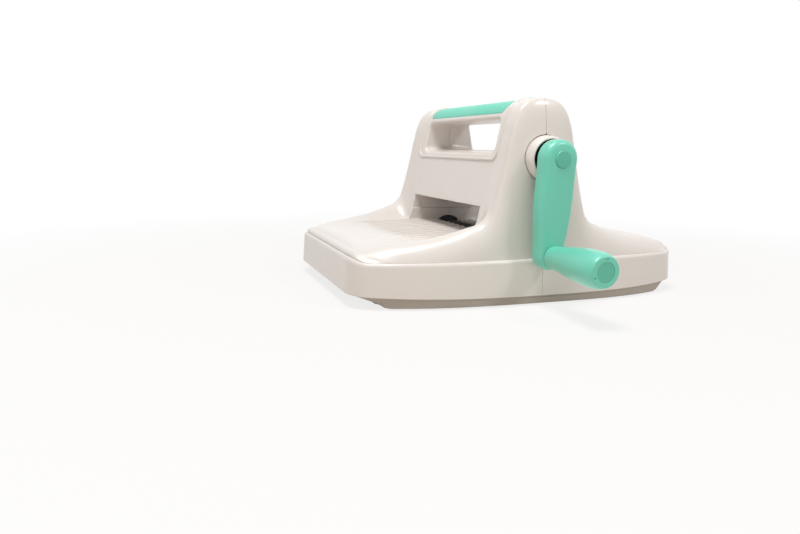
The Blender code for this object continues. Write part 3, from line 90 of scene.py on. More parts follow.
# Housing
END_CORNER = 0.0170
SIDE_TAPER = 3.2
RIDGE_END = 0.0418
RIDGE_MIDDLE = 0.0444
END_RISE = 0.0040
SKIRT_DRAFT = 0.0015
SKIRT_END_RISE = 0.0030
SKIRT_EDGE = 0.0008
LEDGE_WIDTH = 0.0034
LEDGE_RISE = 0.0003
LEDGE_DROP = 0.0012
LEDGE_ROUND = 0.0025
LEDGE_FALL = 0.0038
LIP_ROUND = 0.0046
LIP_STEPS = 8
LEDGE_STEPS = 7
HAIR = 0.00003  # keeps surfaces from lying in each other
SEAM_CHAMFER = 0.0003
CROWN_SHARE = 0.9  # the seam is drawn down, not in, above this share of the height
CROWN_DRAW = 0.2
INNER_KEEP = 4  # the inner surface keeps every fourth row and column
CREST_INSET = 0.0200
ARCH_INSET = 0.0120
FENDER_SLOPE = 0.0340
TRAY_SIDE = 0.0460

# Mouth and tray ribs
MOUTH_SIDE = 0.0480
MOUTH_LEDGE = 0.0012
MOUTH_LEDGE_HEIGHT = 0.0142
MOUTH_TOP = 0.0890
MOUTH_WALL = 0.0024
MOUTH_LIP = 0.0012
MOUTH_LIP_STEPS = 5
FLARE_TURN = math.radians(80)
RIB_COUNT = 14
RIB_PITCH = 0.0130
RIB_WIDTH = 0.0034
RIB_HEIGHT = 0.0020
RIB_START = 0.0162
RIB_END = 0.1190
RIB_BOW = 0.0040
RIB_FADE = 5  # a rib's back falls over the last fifth of its length
RIB_STEPS = 40
RIB_SIDES = 8

# Carry handle, trim bead and strip
HANDLE_HALF = 0.0880
FLOOR_CROWN = 0.0030
TOP_CROWN = 0.0045
HANDLE_CORNER = 0.0070
HANDLE_WALL = 0.0026
HANDLE_LIP = 0.0024
HANDLE_LIP_STEPS = 6
CROWN_STEPS = 5
FACE_TRIES = 6  # the opening's outline and the face's depth depend on each other
STRIP_HALF_LENGTH = 0.0905
STRIP_HALF_DEPTH = 0.0235
STRIP_THICKNESS = 0.0030
STRIP_DROP = 0.0141
STRIP_CORNER = 0.0070
STRIP_BEVEL = 0.0005
BEAD_HALF = 0.0975
BEAD_BOTTOM = 0.1345
BEAD_RADIUS = 0.0015
BEAD_SIDES = 12
BEAD_CORNER = 0.0080
BEAD_CROWN_STEPS = 12
BEAD_SIDE_STEPS = 16
BEAD_CORNER_STEPS = 8
BEAD_LOW_STEPS = 10

# Rollers, bearings and shaft
ROLLER_RADIUS = 0.0150
ROLLER_HALF = 0.0862
LOWER_Z = 0.0435
UPPER_Z = 0.0960
JOURNAL_RADIUS = 0.0060
PLATE_INNER = 0.0912
PLATE_OUTER = 0.0942
BUSH_WALL = 0.0035
LOWER_FLANGE = 0.0195
UPPER_FLANGE = 0.0125
BEARING_ROUND = 0.0008
GAP = 0.0003
CRANK_Z = 0.1365
BOSS_RADIUS = 0.0240
BOSS_STEPS = 16

# Collar in the right wall
COLLAR_RADIUS = 0.0210
COLLAR_FACE = 0.1380
COLLAR_SEAT = 0.1205
COLLAR_ROUND = 0.0030
COLLAR_DOME = 0.0085
COLLAR_LIP = 0.0006
COLLAR_RECESS = 0.0045
NOTCH_RADIUS = 0.0008
COLLAR_SPIGOT = 0.0130
COLLAR_SPIGOT_LENGTH = 0.0045
COLLAR_PAD = 0.0042
COLLAR_SHADOW = 0.0008  # dark gap round the collar
COLLAR_STEPS = 12
SHAFT_RADIUS = 0.0060

# Crank arm, cap and grip
ARM_INNER = 0.1410
ARM_NECK = 0.0120
ARM_BACK = 0.0015
ARM_EDGE = 0.0062
ARM_MIDDLE = 0.0120
ARM_BELLY = 0.0018
ARM_CROWN = 0.0005
ARM_BACK_STEPS = 4
ARM_EDGE_STEPS = 10
ARM_FACE_STEPS = 5
HEAD_STEPS = 40
END_STEPS = 32
FLANK_STEPS = 16
CAP_RADIUS = 0.0080
CAP_PROUD = 0.0016
CAP_THICKNESS = 0.0036
CAP_ROUND = 0.0008
CAP_CROWN = 0.00036
CAP_RINGS = (0.9, 0.7, 0.45, 0.2, 0.04)  # shares of the cap's radius
SCREW_HEAD = 0.0035
PIN_RADIUS = 0.0040
PIN_HEAD = 0.0068
PIN_HEAD_HEIGHT = 0.0030
PIN_SEAT = 0.0100
NECK_ROUND = 0.0008
GRIP_FULL = 0.80  # the grip is widest at this share of its length
GRIP_FLARE = 1.4
GRIP_STEPS = 24
GRIP_END_STEPS = 12
GRIP_CAP = 0.0084
GRIP_CAP_THICKNESS = 0.0030
GRIP_CAP_RECESS = 0.0002
PIT_RADIUS = 0.0009
PIT_DEPTH = 0.0008
PIT_OFFSET = 0.0106
PIT_FLOOR = 0.7  # shares of the pit's radius
PIT_RIM = 1.2
PIT_TURNS = (math.radians(90), math.radians(207))

# Pan, feet and screws
PAN_BOTTOM = 0.0015
PAN_FLOOR = 0.0028
PAN_WALL = 0.0022
PAN_RISE = 0.0050
PAN_END_INSET = 0.0002
PAN_END_RAKE = 0.0300
PAN_STEP = 0.0010
PAN_TURNS = 60
PAD_RADIUS = 0.0065
PAD_TOP = 0.0083
POST_RADIUS = 0.0046
FOOT_RADIUS = 0.0090
FOOT_RECESS = 0.0014
SCREW_RADIUS = 0.0015
SCREW_HEAD_RADIUS = 0.0032
SCREW_HEAD_HEIGHT = 0.0020
SCREW_RECESS = 0.0028
SCREW_REACH = 0.0060
CROSS_LENGTH = 0.62  # shares of the head's radius
CROSS_WIDTH = 0.14
SHELL_SCREWS = (0.0760, 0.1260)
FRAME_SCREWS = (0.1045, 0.0300)
FEET = (0.0860, 0.1423)

# Sides of round pieces. A corner is rounded over less than half of each run beside it.
FINE = 96
ROUND = 64
MEDIUM = 48
SMALL = 32
COARSE = 24
RUN_PARTS = 2.2

# Floor, lamps and camera
FLOOR_HALF = 4.0
FLOOR_TONES = ((0.78, 0.72, 0.66, 1.0), (0.80, 0.74, 0.68, 1.0))
SKY_TONE = (1.0, 0.985, 0.96, 1.0)
WHITE = (1.0, 1.0, 1.0, 1.0)
LAMPS = (("key", (0.25, -0.35, 1.30), 0.50), ("front", (0.60, -1.00, 0.55), 0.30),
         ("side", (0.85, 0.60, 0.95), 0.20))
LAMP_AIM = (0.0, 0.0, 0.08)
CAMERA_SHIFT = (0.001636, 0.000565)
SENSOR_WIDTH = 36.0

OVERRUN = 0.0100  # how far a cutter reaches past what it cuts
MIDDLE_TO_ORIGIN = Matrix.Translation((-0.0484, 0.0, 0.0))
QUARTER = math.pi / 2


def edit(name):
    """One group of the machine's settings."""
    return getattr(bpy.context.scene.die_cutter, name)


# ---------------------------------------------------------------- shared mesh work


def skin(rings, hollow=False):
    """Bridge equal closed rings of points. The ends are closed, or joined if it is hollow."""
    mesh_data = bmesh.new()
    made = [[mesh_data.verts.new(point) for point in ring] for ring in rings]
    count = len(made[0])
    for low, high in zip(made, made[1:] + made[:1] if hollow else made[1:]):
        for index in range(count):
            after = (index + 1) % count
            mesh_data.faces.new((low[index], low[after], high[after], high[index]))
    if not hollow:
        mesh_data.faces.new(made[0])
        mesh_data.faces.new(made[-1])
    return mesh_data


def arc(centre, radius, start, end, steps):
    """Points on an arc, from one angle to another."""
    return [(centre[0] + radius * math.cos(start + (end - start) * index / steps),
             centre[1] + radius * math.sin(start + (end - start) * index / steps))
            for index in range(steps + 1)]


def circle(radius, segments, centre=(0.0, 0.0)):
    """Closed ring of flat points."""
    return arc(centre, radius, 0, 2 * math.pi, segments)[:-1]


def quarter_turns(steps):
    """Angles from 0 to a quarter turn."""
    return [QUARTER * index / steps for index in range(steps + 1)]


def softened(points, radius, steps=3):
    """An open line of flat points with its inner corners rounded."""
    result = [points[0]]
    for before, here, after in zip(points, points[1:], points[2:]):
        here = Vector(here)
        back = Vector(before) - here
        ahead = Vector(after) - here
        if back.length < HAIR or ahead.length < HAIR:
            result.append(tuple(here))
            continue
        reach = min(radius, back.length / RUN_PARTS, ahead.length / RUN_PARTS)
        start = here + back.normalized() * reach
        end = here + ahead.normalized() * reach
        for index in range(steps + 1):
            share = index / steps
            result.append(tuple(start * (1 - share) ** 2 + here * 2 * share * (1 - share)
                                + end * share ** 2))
    result.append(points[-1])
    return result


def turned(profile, segments=ROUND, bore=None, centre=(0.0, 0.0)):
    """Revolve (x, radius) points round an X axis, with a straight bore if one is given."""
    if bore is not None:
        profile = [(profile[0][0], bore), *profile, (profile[-1][0], bore)]
    return skin([[(along, y, z) for y, z in circle(radius, segments, centre)]
                 for along, radius in profile], hollow=bore is not None)


def turned_upright(profile, centre, segments=SMALL):
    """Revolve (height, radius) points round an upright axis."""
    return skin([[(x, y, height) for x, y in circle(radius, segments, centre)]
                 for height, radius in profile])


def bar(start, end, radius, segments=ROUND, centre=(0.0, 0.0)):
    """Round bar along X."""
    return turned([(start, radius), (end, radius)], segments, centre=centre)


def post(bottom, top, radius, centre, segments=SMALL):
    """Round bar that stands upright."""
    return turned_upright([(bottom, radius), (top, radius)], centre, segments)


def extruded(outline, start, end, axis="X"):
    """Extrude flat points along an axis: (y, z) along X, (x, z) along Y, (x, y) along Z."""
    spot = "XYZ".index(axis)
    return skin([[(*point[:spot], along, *point[spot:]) for point in outline]
                 for along in (start, end)])


def rounded_rectangle(half_w, low, high, corner, steps=8):
    """Closed anticlockwise outline with four round corners."""
    sides = ((half_w - corner, high - corner), (corner - half_w, high - corner),
             (corner - half_w, low + corner), (half_w - corner, low + corner))
    return [point for index, centre in enumerate(sides)
            for point in arc(centre, corner, index * QUARTER, (index + 1) * QUARTER, steps)]


def joined(meshes):
    """Several separate meshes as one."""
    whole = bmesh.new()
    for part in meshes:
        held = bpy.data.meshes.new("held")
        part.to_mesh(held)
        part.free()
        whole.from_mesh(held)
        bpy.data.meshes.remove(held)
    return whole


def mesh_object(name, mesh_data):
    """A new object of a mesh whose faces are turned outwards."""
    bmesh.ops.recalc_face_normals(mesh_data, faces=mesh_data.faces)
    mesh = bpy.data.meshes.new(name)
    mesh_data.to_mesh(mesh)
    mesh_data.free()
    made = bpy.data.objects.new(name, mesh)
    bpy.context.scene.collection.objects.link(made)
    return made


def mesh_of(helper):
    """Take the mesh of an object that was only needed to carve it."""
    mesh_data = bmesh.new()
    mesh_data.from_mesh(helper.data)
    bpy.data.objects.remove(helper, do_unlink=True)
    return mesh_data


def carve(target, mesh_data, operation="DIFFERENCE"):
    """Apply one Boolean with a tool that is then removed."""
    cutter = mesh_object("tool", mesh_data)
    step = target.modifiers.new("carve", "BOOLEAN")
    step.operation = operation
    step.solver = "MANIFOLD"
    step.object = cutter
    bpy.context.view_layer.update()
    graph = bpy.context.evaluated_depsgraph_get()
    result = bpy.data.meshes.new_from_object(target.evaluated_get(graph))
    target.modifiers.clear()
    old = target.data
    target.data = result
    bpy.data.meshes.remove(old)
    bpy.data.objects.remove(cutter, do_unlink=True)
    if not result.polygons:
        raise RuntimeError(f"{target.name} was carved away")


def dress(piece, body, finish, node, matrix=MIDDLE_TO_ORIGIN, bevel=0.0, sharp=35):
    """Set a piece in the machine's frame, finish it and let it stand for its node."""
    mesh = piece.data
    mesh.name = piece.name
    mesh.transform(matrix)
    mesh.shade_smooth()
    mesh.set_sharp_from_angle(angle=math.radians(sharp))
    mesh.materials.clear()
    mesh.materials.append(finish_material(finish))
    if bevel:
        edge = piece.modifiers.new("edge rounding", "BEVEL")
        edge.width = bevel
        edge.segments = 3
        edge.limit_method = "ANGLE"
        edge.angle_limit = math.radians(sharp)
        edge.harden_normals = True
    weight = piece.modifiers.new("even shading", "WEIGHTED_NORMAL")
    weight.keep_sharp = True
    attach(piece, body)
    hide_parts(node)


def smooth_step(low, high, value):
    """0 at the low mark and 1 at the high one, level at both."""
    share = min(max((value - low) / (high - low), 0.0), 1.0)
    return share * share * (3 - 2 * share)


def read_marks(marks, value):
    """Straight interpolation in a table of (place, value) marks."""
    for (x0, y0), (x1, y1) in zip(marks, marks[1:]):
        if value <= x1:
            return y0 + (y1 - y0) * (value - x0) / (x1 - x0)
    return marks[-1][1]


# ---------------------------------------------------------------- the housing's form


def seam_y():
    """Depth of the front half's edge at the seam."""
    return -edit("housing").seam_gap / 2


def side_half_width(depth):
    """Half the ridge's width, widest at the seam."""
    sizes = edit("housing")
    share = min(abs(depth) / (sizes.body_length / 2), 1.0)
    half = sizes.body_width / 2
    return half - (half - sizes.end_width / 2) * share ** SIDE_TAPER


def outline_point(turn):
    """Ridge outline of the front right quarter."""
    sizes = edit("housing")
    half_length = sizes.body_length / 2
    corner = Vector((sizes.end_width / 2, -half_length))
    front_end = corner - Vector((END_CORNER, 0))
    side_start_y = END_CORNER - half_length
    side_start = Vector((side_half_width(side_start_y), side_start_y))
    if turn <= 1:
        return Vector((front_end.x * turn, -half_length))
    if turn <= 2:
        part = turn - 1
        return (front_end * (1 - part) ** 2 + corner * 2 * part * (1 - part)
                + side_start * part ** 2)
    depth = side_start_y * (SIDE_END - turn)
    return Vector((side_half_width(depth), depth))


def outline_normal(turn):
    """Outward normal of the outline. It is square to both planes of symmetry."""
    if turn < TURN_STEP:
        return Vector((0, -1))
    if turn > SIDE_END - TURN_STEP:
        return Vector((1, 0))
    run = outline_point(turn + TURN_STEP) - outline_point(turn - TURN_STEP)
    return Vector((run.y, -run.x)).normalized()


def ring_point(turn, inset, height=0.0):
    """Point beside the outline, at a height."""
    flat = outline_point(turn) - outline_normal(turn) * inset
    if turn >= SIDE_END:
        flat.y = 0
    if turn <= 0:
        flat.x = 0
    return Vector((flat.x, flat.y, height))


def ridge_height(depth):
    """Height of the side ridge, which falls towards the ends."""
    share = abs(depth) / (edit("housing").body_length / 2)
    return RIDGE_MIDDLE + (RIDGE_END - RIDGE_MIDDLE) * share


def end_share(turn):
    """1 along the tray's end rim, falling to 0 round the corner."""
    return 1 - smooth_step(CORNER - LIP_FADE, CORNER + LIP_FADE, turn)


def lip(turn):
    """Rounding of the tray's end rim, which fades out round the corner."""
    return LIP_ROUND * end_share(turn) + HAIR


def groove(turn):
    """Depth of the groove under the tray's end rim. It runs out at the corners."""
    return GAP + (LEDGE_DROP - GAP) * end_share(turn)


def ridge_rise(turn):
    """Height of the ridge at the machine's ends over the line of its sides."""
    return END_RISE * end_share(turn)


def rim_rise(turn):
    """Height of the tray's rim over the line of the side ridge."""
    return LEDGE_RISE + (END_RISE + LIP_ROUND) * end_share(turn)


def rim_point(turn, inset):
    """Point at the height of the tray's rim, beside the outline."""
    point = ring_point(turn, inset)
    point.z = ridge_height(point.y) + rim_rise(turn)
    return point


def skirt_height(depth):
    """Height of the skirt's lower edge, which rises towards the ends."""
    sizes = edit("housing")
    return sizes.skirt_bottom + SKIRT_END_RISE * (depth / (sizes.body_length / 2)) ** 2


def rim_turn(depth):
    """Outline position at a depth, between the corner and the seam."""
    if depth <= 0:
        return SIDE_END
    low = CORNER
    high = SIDE_END
    while high - low > TURN_STEP * TURN_STEP:
        middle = (low + high) / 2
        if -outline_point(middle).y > depth:
            low = middle
        else:
            high = middle
    return low


def column_shares():
    """(kind, share) of every column from the middle of the body to its edge."""
    steps = edit("housing").column_steps
    columns = [("flat", index / steps) for index in range(steps + 1)]
    columns += [("slope", index / steps) for index in range(1, steps + 1)]
    wide = 2 * steps
    return columns + [("side", index / wide) for index in range(1, wide + 1)]


def column_turn(kind, share):
    """Outline position of a column on the housing's front edge."""
    if kind == "flat":
        return FLAT_END * share
    if kind == "slope":
        return FLAT_END + (SLOPE_END - FLAT_END) * read_marks(SLOPE_MARKS, share)
    return SLOPE_END + (CORNER - SLOPE_END) * read_marks(SIDE_MARKS, share)


def front_line():
    """Points along the front edge to the middle of the corner."""
    line = []
    for kind, share in column_shares():
        turn = column_turn(kind, share)
        line.append(rim_point(turn, LEDGE_WIDTH + lip(turn)))
    return line


def section_line(row):
    """Points of one control row from the middle of the body out to its edge."""
    sizes = edit("housing")
    half_length = sizes.body_length / 2
    crest = Vector((0, -half_length * CREST_DEPTHS[row], sizes.body_height * CREST_HEIGHTS[row]))
    centre = Vector((0, -half_length * CENTRE_DEPTHS[row],
                     sizes.feed_floor * TRAY_HEIGHTS[row]
                     + (sizes.body_height - sizes.feed_floor) * FACE_HEIGHTS[row]))
    blend = ARCH_BLENDS[row]
    edge = rim_point(rim_turn(half_length * RIM_DEPTHS[row]), LEDGE_WIDTH)
    crest.x = edge.x - (CREST_INSET + (ARCH_INSET - CREST_INSET) * blend)
    centre.x = min(sizes.body_width / 2 - TRAY_SIDE, crest.x - FENDER_SLOPE * (1 - blend))
    power = SHOULDER_POWER + SHOULDER_GAIN * blend
    eased = CORNER_SOFTNESS * max(0.0, (SOFT_ROWS - row) / (SOFT_ROWS - 1))
    line = []
    for kind, share in column_shares():
        if kind == "flat":
            point = Vector((centre.x * share, centre.y, centre.z))
        elif kind == "slope":
            point = centre.lerp(crest, smooth_step(0, 1, share))
            point.x = centre.x + (crest.x - centre.x) * share
        else:
            turn = share * QUARTER
            across = math.sin(turn) ** (2 / power)
            down = 1 - max(math.cos(turn), 0.0) ** (2 / power)
            across += (share - across) * eased
            down += (share ** 2 - down) * eased
            point = Vector((crest.x + (edge.x - crest.x) * across,
                            crest.y + (edge.y - crest.y) * share ** (1 + blend / 2),
                            crest.z + (edge.z - crest.z) * down))
        line.append(point)
    return line


def spline_places(lines, spacing):
    """(row, share) of every fine row between the control rows."""
    places = []
    for row, (low, high) in enumerate(zip(lines, lines[1:])):
        run = max((b - a).length for a, b in zip(low, high))
        count = max(1, math.ceil(run / spacing))
        places += [(row, index / count) for index in range(count)]
    last = len(lines) - 2
    run = max((b - a).length for a, b in zip(lines[last], lines[-1]))
    places.append((last, 1 - (SEAM_CHAMFER + HAIR) / run))
    places.append((last, 1.0))
    return places


def spline_value(values, marks, row, share):
    """Smooth curve through values at marks. The last value has its mirror image beyond it."""
    low, high = values[row], values[row + 1]
    span = marks[row + 1] - marks[row]

    def slope(index):
        here = values[index]
        if index == 0:
            return (values[1] - here) / (marks[1] - marks[0])
        before = (here - values[index - 1]) / (marks[index] - marks[index - 1])
        if index == len(values) - 1:
            return mirrored_slope(before)
        after = (values[index + 1] - here) / (marks[index + 1] - marks[index])
        back = marks[index] - marks[index - 1]
        ahead = marks[index + 1] - marks[index]
        return (before * ahead + after * back) / (back + ahead)

    s2, s3 = share ** 2, share ** 3
    return (low * (2 * s3 - 3 * s2 + 1) + slope(row) * (span * (s3 - 2 * s2 + share))
            + high * (3 * s2 - 2 * s3) + slope(row + 1) * (span * (s3 - s2)))


def mirrored_slope(slope):
    """Slope at the seam, where the other half mirrors this one in Y."""
    if isinstance(slope, Vector):
        return Vector((0.0, slope.y, 0.0))
    return slope


def housing_surface():
    """Upper surface of the front right quarter as fine rows, and each row's rim position."""
    sizes = edit("housing")
    count = len(CREST_DEPTHS)
    lines = [front_line()] + [section_line(row) for row in range(1, count)]
    marks = [0.0]
    for low, high in zip(lines, lines[1:]):
        marks.append(marks[-1] + sum((b - a).length for a, b in zip(low, high)) / len(low))
    columns = list(zip(*lines))
    rim_depths = [-outline_point(CORNER).y]
    rim_depths += [sizes.body_length / 2 * share for share in RIM_DEPTHS[1:]]
    rows = []
    turns = []
    for row, share in spline_places(lines, sizes.row_spacing):
        turn = rim_turn(spline_value(rim_depths, marks, row, share))
        if row == 0 and share == 0:
            turn = CORNER
        if row == count - 2 and share == 1:
            turn = SIDE_END
        line = [spline_value(column, marks, row, share) for column in columns]
        line[-1] = rim_point(turn, LEDGE_WIDTH + lip(turn))
        rows.append(line)
        turns.append(turn)
    return rows, turns


class HousingForm:
    """The front half's outer surface and what is measured from it."""

    def __init__(self):
        quarter, rim_turns = housing_surface()
        self.turns = [column_turn(kind, share) for kind, share in column_shares()]
        self.turns += rim_turns[1:]
        for point in quarter[-1]:
            point.y = seam_y()
        self.grid = [self.whole(line) for line in quarter]
        mesh_data = bmesh.new()
        lay_grid(mesh_data, self.grid)
        mesh_data.normal_update()
        self.tree = BVHTree.FromBMesh(mesh_data)
        mesh_data.free()

    @staticmethod
    def whole(right):
        """A line from the middle outwards, with its mirror image before it."""
        return [Vector((-point.x, point.y, point.z)) for point in reversed(right[1:])] + right

    def ring(self, inset, height, level):
        """Open ring round the front half. Inset may follow the outline position."""
        right = []
        for turn in self.turns:
            deep = inset(turn) if callable(inset) else inset
            rise = height(turn) if callable(height) else height
            point = ring_point(turn, deep, rise)
            point.z += level(point.y)
            if turn >= SIDE_END:
                point.y = seam_y()
            right.append(point)
        return self.whole(right)

    def height_at(self, x, y):
        """Height of the surface over a place."""
        return self.tree.ray_cast(Vector((x, y, 1.0)), Vector((0, 0, -1)))[0].z

    def face_at(self, x, z):
        """Depth of the tower's face in front of the seam."""
        hit = self.tree.ray_cast(Vector((x, -SEAM_CHAMFER, z)), Vector((0, -1, 0)))[0]
        return -hit.y

    def wall_at(self, y, z):
        """How far out the right wall stands at a depth and a height."""
        return self.tree.ray_cast(Vector((1.0, y, z)), Vector((-1, 0, 0)))[0].x

    def profile(self, inset):
        """Centre profile of the tower from its foot to the seam, moved in by inset."""
        middle = len(self.grid[0]) // 2
        points = [line[middle] for line in self.grid]
        moved = []
        for index in range(1, len(points)):
            run = points[min(index + 1, len(points) - 1)] - points[index - 1]
            normal = Vector((0, -run.z, run.y)).normalized()
            if index == len(points) - 1:
                normal = Vector((0, 0, 1))
            point = points[index] - normal * inset
            moved.append((min(point.y, seam_y()), point.z))
        return moved


def lay_grid(mesh_data, grid):
    """Open surface of four sided faces through a grid of points."""
    made = [[mesh_data.verts.new(point) for point in line] for line in grid]
    for low, high in zip(made, made[1:]):
        for index in range(len(low) - 1):
            mesh_data.faces.new((low[index], low[index + 1], high[index + 1], high[index]))
    return made


def edge_cells(rows, columns):
    """Grid cells round the open edge, from the left seam to the right seam."""
    cells = [(row, 0) for row in range(rows - 1, -1, -1)]
    cells += [(0, column) for column in range(1, columns)]
    return cells + [(row, columns - 1) for row in range(1, rows)]


def hang_rings(mesh_data, verts, rings):
    """Skin from the grid's edge down through rings. Returns the last and both seam lines."""
    above = [verts[row][column] for row, column in edge_cells(len(verts), len(verts[0]))]
    seams = ([above[0]], [above[-1]])
    for ring in rings:
        below = [mesh_data.verts.new(point) for point in ring]
        for index in range(len(ring) - 1):
            mesh_data.faces.new((above[index], above[index + 1], below[index + 1], below[index]))
        seams[0].append(below[0])
        seams[1].append(below[-1])
        above = below
    return above, seams


def zip_lines(mesh_data, outer, inner):
    """Strip of triangles between two lines of points with different counts."""
    out, far = 0, 0
    while out < len(outer) - 1 or far < len(inner) - 1:
        more_out = out < len(outer) - 1
        more_in = far < len(inner) - 1
        take_out = more_out
        if more_out and more_in:
            take_out = ((outer[out + 1].co - inner[far].co).length
                        <= (inner[far + 1].co - outer[out].co).length)
        if take_out:
            mesh_data.faces.new((outer[out], outer[out + 1], inner[far]))
            out += 1
        else:
            mesh_data.faces.new((inner[far], inner[far + 1], outer[out]))
            far += 1


def inner_grid(form):
    """The surface moved in by the wall on fewer rows and columns, and the edge cells kept."""
    wall = edit("housing").wall
    grid = form.grid
    rows, columns = len(grid), len(grid[0])
    moved = []
    for row in range(rows):
        line = []
        for column in range(columns):
            across = grid[row][min(column + 1, columns - 1)] - grid[row][max(column - 1, 0)]
            along = grid[min(row + 1, rows - 1)][column] - grid[max(row - 1, 0)][column]
            point = grid[row][column] - across.cross(along).normalized() * wall
            if row == rows - 1:
                point.y = seam_y()
            line.append(point)
        moved.append(line)
    edge = form.ring(lambda turn: LEDGE_WIDTH + lip(turn) + wall,
                     lambda turn: rim_rise(turn) - wall, ridge_height)
    cells = edge_cells(rows, columns)
    for (row, column), point in zip(cells, edge):
        moved[row][column] = point
    middle = columns // 2
    columns_kept = sorted({0, columns - 1, *range(middle, columns, INNER_KEEP),
                           *range(middle, -1, -INNER_KEEP)})
    rows_kept = sorted({rows - 1, *range(0, rows, INNER_KEEP)})
    return ([[moved[row][column] for column in columns_kept] for row in rows_kept],
            [index for index, (row, column) in enumerate(cells)
             if row in rows_kept and column in columns_kept])


def skirt_rings(form):
    """Rings from the tray's edge through the groove and ridge to the skirt's lower edge."""
    rings = []
    for turn in quarter_turns(LIP_STEPS)[1:]:
        rings.append(form.ring(lambda place: LEDGE_WIDTH + lip(place) * (1 - math.sin(turn)),
                               lambda place: rim_rise(place) - lip(place) * (1 - math.cos(turn)),
                               ridge_height))
    rings.append(form.ring(LEDGE_WIDTH, lambda place: ridge_rise(place) - groove(place) / 2,
                           ridge_height))
    rings.append(form.ring(lambda place: LEDGE_WIDTH - groove(place) / 2,
                           lambda place: ridge_rise(place) - groove(place), ridge_height))
    for turn in quarter_turns(LEDGE_STEPS):
        rings.append(form.ring(LEDGE_ROUND * (1 - math.sin(turn)),
                               lambda place: ridge_rise(place) + LEDGE_FALL * (math.cos(turn) - 1),
                               ridge_height))
    for inset, height in ((0, SKIRT_EDGE), (SKIRT_EDGE / 3, SKIRT_EDGE / 3), (SKIRT_EDGE, 0)):
        rings.append(form.ring(inset - SKIRT_DRAFT, height, skirt_height))
    return rings


def housing_skin(form):
    """Front half of the housing as one thin walled closed mesh, drawn in along the seam."""
    sizes = edit("housing")
    mesh_data = bmesh.new()
    outer = lay_grid(mesh_data, form.grid)
    kept_grid, kept = inner_grid(form)
    inner = lay_grid(mesh_data, kept_grid)
    inner_rings = [[ring[index] for index in kept] for ring in (
        form.ring(sizes.wall, -sizes.wall - LEDGE_ROUND, ridge_height),
        form.ring(sizes.wall, 0, skirt_height))]
    bottoms, edges = [], []
    for grid, rings in ((outer, skirt_rings(form)), (inner, inner_rings)):
        bottom, seams = hang_rings(mesh_data, grid, rings)
        bottoms.append(bottom)
        edges.append(seams[0][::-1] + list(grid[-1][1:-1]) + seams[1])
    zip_lines(mesh_data, *bottoms)
    zip_lines(mesh_data, *edges)
    for vert in set(edges[0]):
        x, _, z = vert.co
        crown = z >= sizes.body_height * CROWN_SHARE
        inwards = Vector((-x * CROWN_DRAW, 0, -z)) if crown else Vector((-x, 0, 0))
        vert.co += inwards.normalized() * SEAM_CHAMFER
    return mesh_data


# ---------------------------------------------------------------- openings and trim


def face_slope(form):
    """Depth that the tower's face loses for each unit of height."""
    low = form.face_at(0, MOUTH_TOP + MOUTH_WALL)
    high = form.face_at(0, edit("housing").handle_floor)
    return (low - high) / (edit("housing").handle_floor - MOUTH_TOP - MOUTH_WALL)


def handle_block(form):
    """Solid bar and end walls round the carry opening, front half."""
    sizes = edit("housing")
    bottom = sizes.handle_floor - HANDLE_WALL
    profile = [point for point in form.profile(sizes.wall / 2) if point[1] > bottom + HANDLE_WALL]
    start_y = profile[0][0] - (profile[0][1] - bottom) * face_slope(form)
    half = HANDLE_HALF + HANDLE_WALL
    return extruded([(start_y, bottom)] + profile + [(seam_y(), bottom)], -half, half)


def handle_section(face, depth):
    """Outline of the carry opening at a depth, crowned towards the seam."""
    sizes = edit("housing")
    share = max(0.0, 1 - (depth / face) ** 2)
    low = sizes.handle_floor + FLOOR_CROWN * share
    high = sizes.body_height - sizes.handle_beam - TOP_CROWN * share
    return rounded_rectangle(HANDLE_HALF, low, high, HANDLE_CORNER)


def flare(radius, steps, past):
    """(outward, inward) offsets of an opening's round edge, then of a bevel past the face."""
    turns = [FLARE_TURN * step / steps for step in range(steps + 1)]
    offsets = [(radius * (1 - math.cos(turn)), radius * (1 - math.sin(turn))) for turn in turns]
    wide = offsets[-1][0] + (offsets[-1][1] + SEAM_CHAMFER) * math.tan(FLARE_TURN)
    return offsets + [(wide, -SEAM_CHAMFER), (wide, -past)]


def outward(points):
    """Outward normals of a closed anticlockwise outline."""
    normals = []
    count = len(points)
    for index in range(count):
        run = Vector(points[(index + 1) % count]) - Vector(points[index - 1])
        if run.length < HAIR:
            run = Vector(points[(index + 2) % count]) - Vector(points[index - 2])
        normals.append(Vector((run.y, -run.x)).normalized())
    return normals


def handle_cutter(form):
    """Cutter of the carry opening: from behind the seam to the face, where it flares."""
    front = form.face_at(0, edit("housing").handle_floor)

    def section(depth):
        return handle_section(front, max(depth, 0.0))

    faces = []
    for index in range(len(section(0.0))):
        depth = 0.0
        for _ in range(FACE_TRIES):
            depth = form.face_at(*section(depth)[index])
        faces.append(depth)
    normals = outward(section(sum(faces) / len(faces)))
    rings = [[(x, OVERRUN, z) for x, z in section(0.0)]]
    for step in range(CROWN_STEPS + 1):
        ring = []
        for index, face in enumerate(faces):
            depth = (face - HANDLE_LIP) * step / CROWN_STEPS
            x, z = section(depth)[index]
            ring.append((x, -depth, z))
        rings.append(ring)
    for out, sunk in flare(HANDLE_LIP, HANDLE_LIP_STEPS, OVERRUN)[1:]:
        ring = []
        for index, (face, normal) in enumerate(zip(faces, normals)):
            x, z = section(face)[index]
            x += normal.x * out
            z += normal.y * out
            ring.append((x, sunk - form.face_at(x, z), z))
        rings.append(ring)
    return skin(rings)


